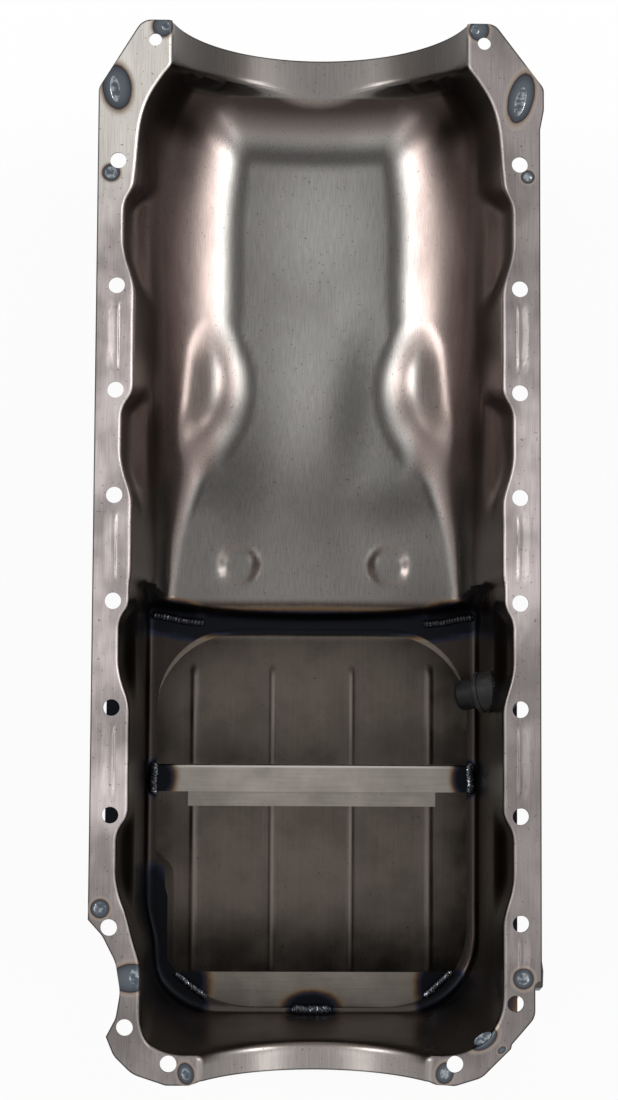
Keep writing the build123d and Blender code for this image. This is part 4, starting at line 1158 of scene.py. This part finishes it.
# %% From a line to a bead
def grown(obj, group, values):
    """The object with a Geometry Nodes group worked into a plain mesh, as a new object."""
    modifier = obj.modifiers.new(group.name, "NODES")
    modifier.node_group = group
    for socket in group.interface.items_tree:
        if socket.in_out == "INPUT" and socket.name in values:
            modifier[socket.identifier] = values[socket.name]
    mesh, name = evaluated_mesh(obj), obj.name
    bpy.data.objects.remove(obj)
    mesh.name = name
    return make_object(name, mesh)


def weld_lines(name, runs, closed=False):
    """A curve object with one open or closed line for each run of points in millimetres."""
    curve = bpy.data.curves.new(name, "CURVE")
    curve.dimensions = "3D"
    for points in runs:
        spline = curve.splines.new("POLY")
        spline.points.add(len(points) - 1)
        for point, (x, y, z) in zip(spline.points, points):
            point.co = (x * MM, y * MM, z * MM, 1)
        spline.use_cyclic_u = closed
    return make_object(name, curve)


def weld_bead(name, runs, width, height, ripple, facing, seed, replaced=(), closed=False):
    """Laid beads, sizes in millimetres, facing away from the metal."""
    bead = grown(weld_lines(name, runs, closed), bead_group, {
        "Width": width * MM, "Height": height * MM, "Ripple": ripple * MM, "Seed": float(seed),
        "Facing": tuple(Vector(facing).normalized()), "Round": float(closed),
        "Material": weld_metal,
    })
    part_of_pan(bead, weld_metal, "weld_steel", *replaced)
    print(name, len(bead.data.polygons), "faces")


# %% [markdown]
# ## Weld metal
# Frozen weld metal is glassy and nearly black-blue with oxide, and it is scraped bright along the
# tops of its ripples. The ripples are real geometry, so the finish only adds the oxide's
# patches and a fine skin.

# %% The weld's finish
weld_metal, shader, place = begin_finish("weld_metal")
oxide = patches(place, 2.2, (1, 1, 1), 4.0, 1.0)
skin = patches(place, 0.5, (1, 1, 1), 3.0, 2.0)
soot = patches(place, 6.0, (1, 1, 1), 2.0, 3.0)
at_y = split(place)[1]
burnt = times(eased_mm(at_y, -52, -46), eased_mm(at_y, -28, -24, 1, 0))
colour = laid_over(
    mixed(eased(oxide, 0.52, 0.66), (0.055, 0.060, 0.072), (0.36, 0.38, 0.42)),
    (eased(soot, 0.55, 0.7), (0.05, 0.04, 0.035)),
    (times(burnt, 0.85), (0.022, 0.022, 0.026)),
)
roughness = plus(eased(oxide, 0.4, 0.65, 0.34, 0.20), times(burnt, 0.12))
end_finish(shader, colour, roughness, 1.0, ((skin, 0.02), (oxide, 0.05)), 0.7)
print("weld metal nodes:", len(weld_metal.node_tree.nodes))

# %% Where the welder went: lines, (width, height, ripple), facing and the CAD welds they replace
UP, DRAIN_AT = (0, 0, 1), Vector((120.6, -249.9, -165.0))
port_ring = [
    p + PORT_AXIS * ((99.8 - p.x) / PORT_AXIS.x) for p in ring_points(PORT_AT, PORT_AXIS, 12.4, 60)
]
BEADS = (
    ("crossbar_beads", [
        [(-91.6, -118.2, -98.4), (-91.2, -124.0, -97.9), (-92.0, -130.0, -97.9),
         (-91.4, -137.2, -98.6)],
        [(92.2, -118.0, -98.4), (91.8, -124.0, -97.9), (92.4, -131.0, -97.9),
         (91.9, -136.8, -98.6)],
    ], (4.6, 2.3, 1.5), UP, ("crossbar_weld_left", "crossbar_weld_right")),
    ("shelf_beads", [
        [(-79.5, -239.5, -101.2), (-73.0, -244.5, -101.0), (-66.5, -249.6, -101.0),
         (-59.5, -254.6, -101.2)],
        [(82.5, -238.5, -101.2), (76.5, -243.8, -101.0), (71.0, -249.0, -101.0),
         (65.5, -253.6, -101.2)],
    ], (4.4, 2.4, 1.6), UP, ("shelf_weld_left", "shelf_weld_right")),
    ("shelf_centre_bead", [
        [(-11.5, -261.0, -100.5), (0.0, -261.4, -100.2), (12.6, -261.0, -100.5)],
    ], (6.6, 3.0, 1.6), UP, ("shelf_weld_centre",)),
    ("step_beads", [
        [(-94.5, -32.6, -99.6), (-86.0, -34.0, -99.6), (-76.0, -36.2, -99.6),
         (-63.0, -37.4, -99.8)],
        [(94.5, -33.0, -99.6), (86.0, -34.2, -99.6), (76.0, -36.4, -99.6),
         (64.0, -37.4, -99.8)],
    ], (4.4, 2.2, 1.7), UP, ("step_weld_left", "step_weld_right")),
    ("corner_beads", [
        [(117.2, -55.0, -198.6), (117.2, -250.0, -198.6)],
        [(-117.2, -55.0, -198.6), (-117.2, -138.0, -198.6)],
    ], (5.4, 1.6, 2.4), UP, ("corner_weld_left", "corner_weld_right")),
    ("kickout_bead_left", [
        [(-99.0, -46.0, -100.6), (-99.0, -158.0, -100.6)],
    ], (6.4, 2.0, 2.2), (-1, 0, 1), ("kickout_weld_left",)),
    ("kickout_bead_right", [
        [(99.0, -46.0, -100.6), (99.0, -214.0, -100.6)],
    ], (6.4, 2.0, 2.2), (1, 0, 1), ("kickout_weld_right",)),
    ("front_bead", [
        [(-96.0, -36.6, -103.0), (96.0, -36.6, -103.0)],
    ], (6.6, 2.2, 2.2), (0, 1, -1), ("front_weld",)),
    ("drain_bead", [ring_points(DRAIN_AT, Vector((1, 0, 0)), 16.4, 60)],
     (5.0, 2.6, 2.0), (1, 0, 0), ("drain_weld",)),
    ("port_bead", [port_ring], (4.2, 2.0, 1.8), (1, 0, 0), ()),
)
print("weld beads:", len(BEADS))

# %% Lay the beads
for seed, (name, runs, sizes, facing, replaced) in enumerate(BEADS, 1):
    weld_bead(name, runs, *sizes, facing, seed, replaced, name in ("drain_bead", "port_bead"))

# %% [markdown]
# ## Studs welded under the rail
# Small reinforcements are plug-welded to the rail, and their welds stand up as low glossy
# blisters. They differ in size and direction, so each is a point that carries its own two sizes
# and its turn, and Geometry Nodes set one blister on every point.

# %% Blister tree
def stored(tree, kind, label):
    """Reads a value that the points carry."""
    return add_node(
        tree, "GeometryNodeInputNamedAttribute", {"Name": label}, data_type=kind
    ).outputs[0]


def joined(x, y, z):
    """A vector from three values."""
    return add_node(tree_of(x, y, z), "ShaderNodeCombineXYZ", {0: x, 1: y, 2: z}).outputs[0]


blister_group, given, blister_out = start_group("rail_blisters", (
    ("Rise", "Float", 0.0008), ("Roughness", "Float", 0.35), ("Seed", "Float", 0.0),
))
ball = add_node(
    blister_group, "GeometryNodeMeshUVSphere", {"Segments": 40, "Rings": 20, "Radius": 1}
)
half = split(stored(blister_group, "FLOAT_VECTOR", "halves"))
set_out = add_node(blister_group, "GeometryNodeInstanceOnPoints", {
    "Points": given["Geometry"], "Instance": ball.outputs[0],
    "Rotation": joined(0.0, 0.0, stored(blister_group, "FLOAT", "turn")),
    "Scale": joined(half[0], half[1], given["Rise"]),
})
real = add_node(blister_group, "GeometryNodeRealizeInstances", {"Geometry": set_out.outputs[0]})
at = here(blister_group)
lumps = noise_of(at, given["Seed"], 330.0, 1.0)
factor = plus(minus(1.0, given["Roughness"]), times(lumps, given["Roughness"]))
shaped = add_node(blister_group, "GeometryNodeSetPosition", {
    "Geometry": real.outputs[0],
    "Offset": joined(0.0, 0.0, times(split(at)[2], minus(factor, 1.0))),
})
end_group(shaped.outputs[0], given, blister_out)

# %% The rail's blisters
BLISTERS = [
    (-111.0, 249.0, 2.6, 7.4, 8), (109.0, 244.5, 2.9, 8.6, -14), (-112.5, 203.0, 3.2, 3.2, 0),
    (113.0, 203.0, 2.2, 2.2, 0), (-113.5, -190.5, 3.3, 3.3, 0), (-95.2, -226.4, 2.4, 4.6, 0),
    (88.5, -257.5, 5.2, 2.4, 32), (110.0, -226.5, 3.2, 3.2, 0), (-84.0, 284.2, 2.2, 2.6, 0),
    (84.5, 284.2, 2.2, 2.6, 0), (-67.5, -276.2, 2.2, 3.2, 15), (68.5, -275.7, 2.4, 3.2, -15),
]
BLISTER_Z = -0.1
centres = [(x * MM, y * MM, BLISTER_Z * MM) for x, y, *_ in BLISTERS]
halves = [value for _, _, a, b, _ in BLISTERS for value in (a * MM, b * MM, 0)]
turns = [math.radians(blister[4]) for blister in BLISTERS]
spots = bpy.data.meshes.new("rail_blisters")
spots.from_pydata(centres, [], [])
spots.attributes.new("halves", "FLOAT_VECTOR", "POINT").data.foreach_set("vector", halves)
spots.attributes.new("turn", "FLOAT", "POINT").data.foreach_set("value", turns)

blue_weld, shader, place = begin_finish("blue_weld")
oxide = patches(place, 3.0, (1, 1, 1), 4.0, 1.0)
skin = patches(place, 0.6, (1, 1, 1), 3.0, 2.0)
colour = mixed(eased(oxide, 0.42, 0.62), (0.075, 0.09, 0.11), (0.30, 0.325, 0.34))
roughness = eased(oxide, 0.35, 0.65, 0.32, 0.2)
end_finish(shader, colour, roughness, 1.0, ((skin, 0.02), (oxide, 0.12)), 0.8)
blisters = grown(make_object("rail_blisters", spots), blister_group, {
    "Rise": 0.4 * MM, "Seed": 3.0, "Material": blue_weld})
part_of_pan(blisters, blue_weld, "weld_steel")
print("blisters:", len(blisters.data.polygons), "faces")

# %% [markdown]
# ## The capped port
# A short tube goes through the right wall, and a rubber cap closes it. A cap like this is turned
# in one go, so a lathe shape is right: a profile of distance along the axis and radius, spun
# round. The grommet behind the cap has a notch cut in its rim to lift it out by.

# %% Lathe helper
def lathe(bm, origin, axis, profile, segments=72, rim=lambda turn, radius: radius):
    """Spins (along, radius) points in millimetres round an axis into a closed shape."""
    rings = []
    for reach, radius in profile:
        at = origin + axis * reach
        if radius == 0:
            rings.append([bm.verts.new(at * MM)])
            continue
        ring = []
        for k, p in enumerate(ring_points(at, axis, 1.0, segments)):
            reach_out = rim(2 * math.pi * k / segments, radius)
            ring.append(bm.verts.new((at + (p - at) * reach_out) * MM))
        rings.append(ring)
    loops = list(zip(rings, rings[1:])) + ([(rings[-1], rings[0])] if len(rings[0]) > 1 else [])
    for first, second in loops:
        for k in range(segments):
            corners = []
            for ring, n in ((first, k - 1), (first, k), (second, k), (second, k - 1)):
                vert = ring[n % len(ring)]
                if vert not in corners:
                    corners.append(vert)
            if len(corners) > 2:
                bm.faces.new(corners)


def curved(start, end, bow, count=7):
    """Profile points from start to end on a quarter of an ellipse, bowed by along or by radius."""
    (a0, r0), (a1, r1) = start, end
    turns = np.linspace(0, math.pi / 2, count)
    if bow == "along":
        return [(a0 + (a1 - a0) * (1 - math.cos(t)), r0 + (r1 - r0) * math.sin(t)) for t in turns]
    return [(a0 + (a1 - a0) * math.sin(t), r0 + (r1 - r0) * (1 - math.cos(t))) for t in turns]


# %% Moulded rubber
def rubber_finish(name, dark, pale):
    """Moulded black rubber with a little dust and a faint mould grain."""
    material, shader, place = begin_finish(name)
    dust = patches(place, 6.0, (1, 1, 1), 4.0, 2.0)
    grain = patches(place, 0.35, (1, 1, 1), 2.0, 5.0)
    colour = mixed(eased(dust, 0.45, 0.75), dark, pale)
    roughness = eased(dust, 0.3, 0.7, 0.42, 0.62)
    shader.inputs["Specular IOR Level"].default_value = 0.14
    end_finish(shader, colour, roughness, 0.0, ((grain, 0.02), (dust, 0.05)), 0.8)
    return material


cap_rubber = rubber_finish("moulded_rubber", (0.007, 0.007, 0.0075), (0.020, 0.019, 0.0185))
grommet_rubber = rubber_finish("grommet_rubber", (0.02, 0.019, 0.019), (0.05, 0.047, 0.045))
print("rubbers:", cap_rubber.name, grommet_rubber.name)

# %% Cap and grommet
CAP_PROFILE = [
    (-18.4, 0.0), (-18.5, 3.0), (-18.9, 5.0), *curved((-18.9, 5.4), (-16.2, 8.5), "along", 8),
    (-12.0, 8.5), (-7.0, 8.52), (-3.0, 8.55), (9.9, 8.55), (10.0, 11.4),
    *curved((10.2, 11.9), (13.9, 8.5), "radius", 8), (14.0, 5.0), (13.6, 4.4), (13.6, 0.0),
]
GROMMET_PROFILE = [
    (9.7, 8.9), (-6.6, 8.9), (-7.0, 9.4), (-7.0, 10.6),
    *curved((-6.9, 10.9), (-5.4, 11.6), "along", 5),
    (-4.2, 11.6), (-3.9, 11.0), (9.2, 11.0), (9.7, 10.5),
]
NOTCH_AT, NOTCH_HALF, NOTCH_DEPTH, NOTCH_OUTSIDE = 2.3, 0.24, 1.7, 11.05


def notched(turn, radius):
    """The grommet's radius at a turn, less the notch in its rim."""
    in_notch = radius > NOTCH_OUTSIDE and abs(turn - NOTCH_AT) < NOTCH_HALF
    return radius - (NOTCH_DEPTH if in_notch else 0.0)


bm = bmesh.new()
lathe(bm, PORT_AT, PORT_AXIS, CAP_PROFILE)
port_cap = shade(object_from(bm, "port_cap_rubber"), 40)
port_cap.data.materials.append(cap_rubber)
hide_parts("port_cap")
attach(port_cap, "cap")
bm = bmesh.new()
lathe(bm, PORT_AT, PORT_AXIS, GROMMET_PROFILE, 72, notched)
grommet = shade(object_from(bm, "port_grommet"), 40)
part_of_pan(grommet, grommet_rubber, "bare_steel", "port_bung")
print("cap", len(port_cap.data.polygons), "grommet", len(grommet.data.polygons), "faces")

# %% [markdown]
# ## Drain fitting
# The threaded boss is turned from bar, so fine rings run round its axis. The plug is blackened,
# and its washer is pressed brown fibre. Their CAD shapes are right, and only their finishes are
# made here. The rings are a sine of the distance from the axis, which costs no geometry.

# %% Turned and fibre finishes
DRAIN_AXIS_AT = (120.2, -249.9, -165.0)
ALONG_X_IGNORED = (1e6, 1, 1)


def turned_finish(name, light, dark, rough, ring_size, stain):
    """Turned metal with rings round the drain's axis, and a stain in patches."""
    material, shader, place = begin_finish(name)
    away = distance_from(place, DRAIN_AXIS_AT, ALONG_X_IGNORED)
    rings = maths("SINE", times(away, 2 * math.pi / (ring_size * MM)))
    cloud = patches(place, 5.0, (1, 1, 1), 4.0, 2.0)
    knocks = eased(patches(place, 1.4, (1, 1, 1), 2.0, 4.0), 0.66, 0.74)
    colour = laid_over(
        mixed(cloud, dark, light),
        (eased(cloud, 0.55, 0.75, 0, 0.6), stain),
        (times(knocks, 0.5), (0.10, 0.09, 0.085)),
    )
    roughness = eased(cloud, 0.3, 0.7, rough, rough + 0.14)
    end_finish(shader, colour, roughness, 1.0, ((rings, 0.004), (knocks, -0.03)), 0.6)
    return material


bung_steel = turned_finish(
    "bung_steel", (0.46, 0.44, 0.42), (0.30, 0.28, 0.265), 0.26, 0.35, (0.24, 0.19, 0.15)
)
black_oxide = turned_finish(
    "black_oxide", (0.085, 0.083, 0.083), (0.045, 0.044, 0.045), 0.3, 0.5, (0.12, 0.10, 0.085)
)
fibre, shader, place = begin_finish("pressed_fibre")
strands = patches(place, 0.8, (0.3, 1, 1), 4.0, 1.0)
colour = mixed(eased(strands, 0.3, 0.7), (0.12, 0.055, 0.03), (0.26, 0.14, 0.08))
end_finish(shader, colour, eased(strands, 0.3, 0.7, 0.6, 0.8), 0.0, ((strands, 0.05),), 0.8)
dress(bung_steel, "drain_bung")
dress(black_oxide, "drain_plug")
dress(fibre, "drain_washer")
print("drain finishes:", bung_steel.name, black_oxide.name, fibre.name)

# %% [markdown]
# ## Floor, world and lamps
# A dark metal part is mostly what it mirrors. The world is white for the camera and for
# reflections, and half as bright for soft light. Two softboxes stand at the front sides, so that
# every drawn shoulder picks up one long highlight that fades with the sheet's roughness, and two
# weak ones behind lift the rear of the well.

# %% Floor
FLOOR_HALF, FLOOR_GAP = 4.0, 0.0004
floor_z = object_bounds()[0][2] - FLOOR_GAP
floor_mesh = bpy.data.meshes.new("floor")
floor_corners = ((-1, -1), (1, -1), (1, 1), (-1, 1))
floor_mesh.from_pydata(
    [(x * FLOOR_HALF, y * FLOOR_HALF, floor_z) for x, y in floor_corners], [], [(0, 1, 2, 3)]
)
floor = make_object("floor", floor_mesh)
floor_white, shader, place = begin_finish("floor_white")
shader.inputs["Base Color"].default_value = (0.95, 0.95, 0.95, 1)
shader.inputs["Roughness"].default_value = 0.9
tree = floor_white.node_tree
seen = add_node(tree, "ShaderNodeLightPath").outputs["Is Camera Ray"]
glow = add_node(tree, "ShaderNodeEmission", {"Color": (1, 1, 1, 1), "Strength": 1.0}).outputs[0]
parts = {0: times(seen, 0.9), 1: shader.outputs[0], 2: glow}
surface = add_node(tree, "ShaderNodeMixShader", parts)
tree.links.new(surface.outputs[0], tree.nodes["Material Output"].inputs["Surface"])
floor_mesh.materials.append(floor_white)
print("floor at", round(floor_z, 4), "m")

# %% World
world = bpy.data.worlds.new("studio")
bpy.context.scene.world = world
world.use_nodes = True
path = add_node(world.node_tree, "ShaderNodeLightPath").outputs
shown = larger(path["Is Camera Ray"], path["Is Glossy Ray"], path["Is Transmission Ray"])
background = world.node_tree.nodes["Background"]
background.inputs["Color"].default_value = (1, 1, 1, 1)
world.node_tree.links.new(eased(shown, 0.0, 1.0, 0.5, 1.0), background.inputs["Strength"])
print("world nodes:", len(world.node_tree.nodes))


# %% Lamps
def softbox(name, at, target, size, watts):
    """A rectangular softbox aimed at a point, sizes in metres."""
    light = bpy.data.lights.new(name, "AREA")
    light.shape, light.size, light.size_y, light.energy = "RECTANGLE", size[0], size[1], watts
    obj = make_object(name, light)
    obj.location = at
    obj.rotation_euler = (Vector(target) - Vector(at)).to_track_quat("-Z", "Y").to_euler()


softbox("softbox_left", (-1.05, 0.36, 0.95), (0, 0.1, 0), (0.42, 0.5), 8)
softbox("softbox_right", (1.05, 0.36, 0.95), (0, 0.1, 0), (0.5, 0.5), 8)
softbox("softbox_rear_left", (-0.9, -0.5, 1.2), (0, -0.1, 0), (0.2, 0.6), 2)
softbox("softbox_rear_right", (0.9, -0.5, 1.2), (0, -0.1, 0), (0.2, 0.6), 2)
bpy.context.scene.view_settings.view_transform = "Standard"
print("lamps:", len(bpy.data.lights))
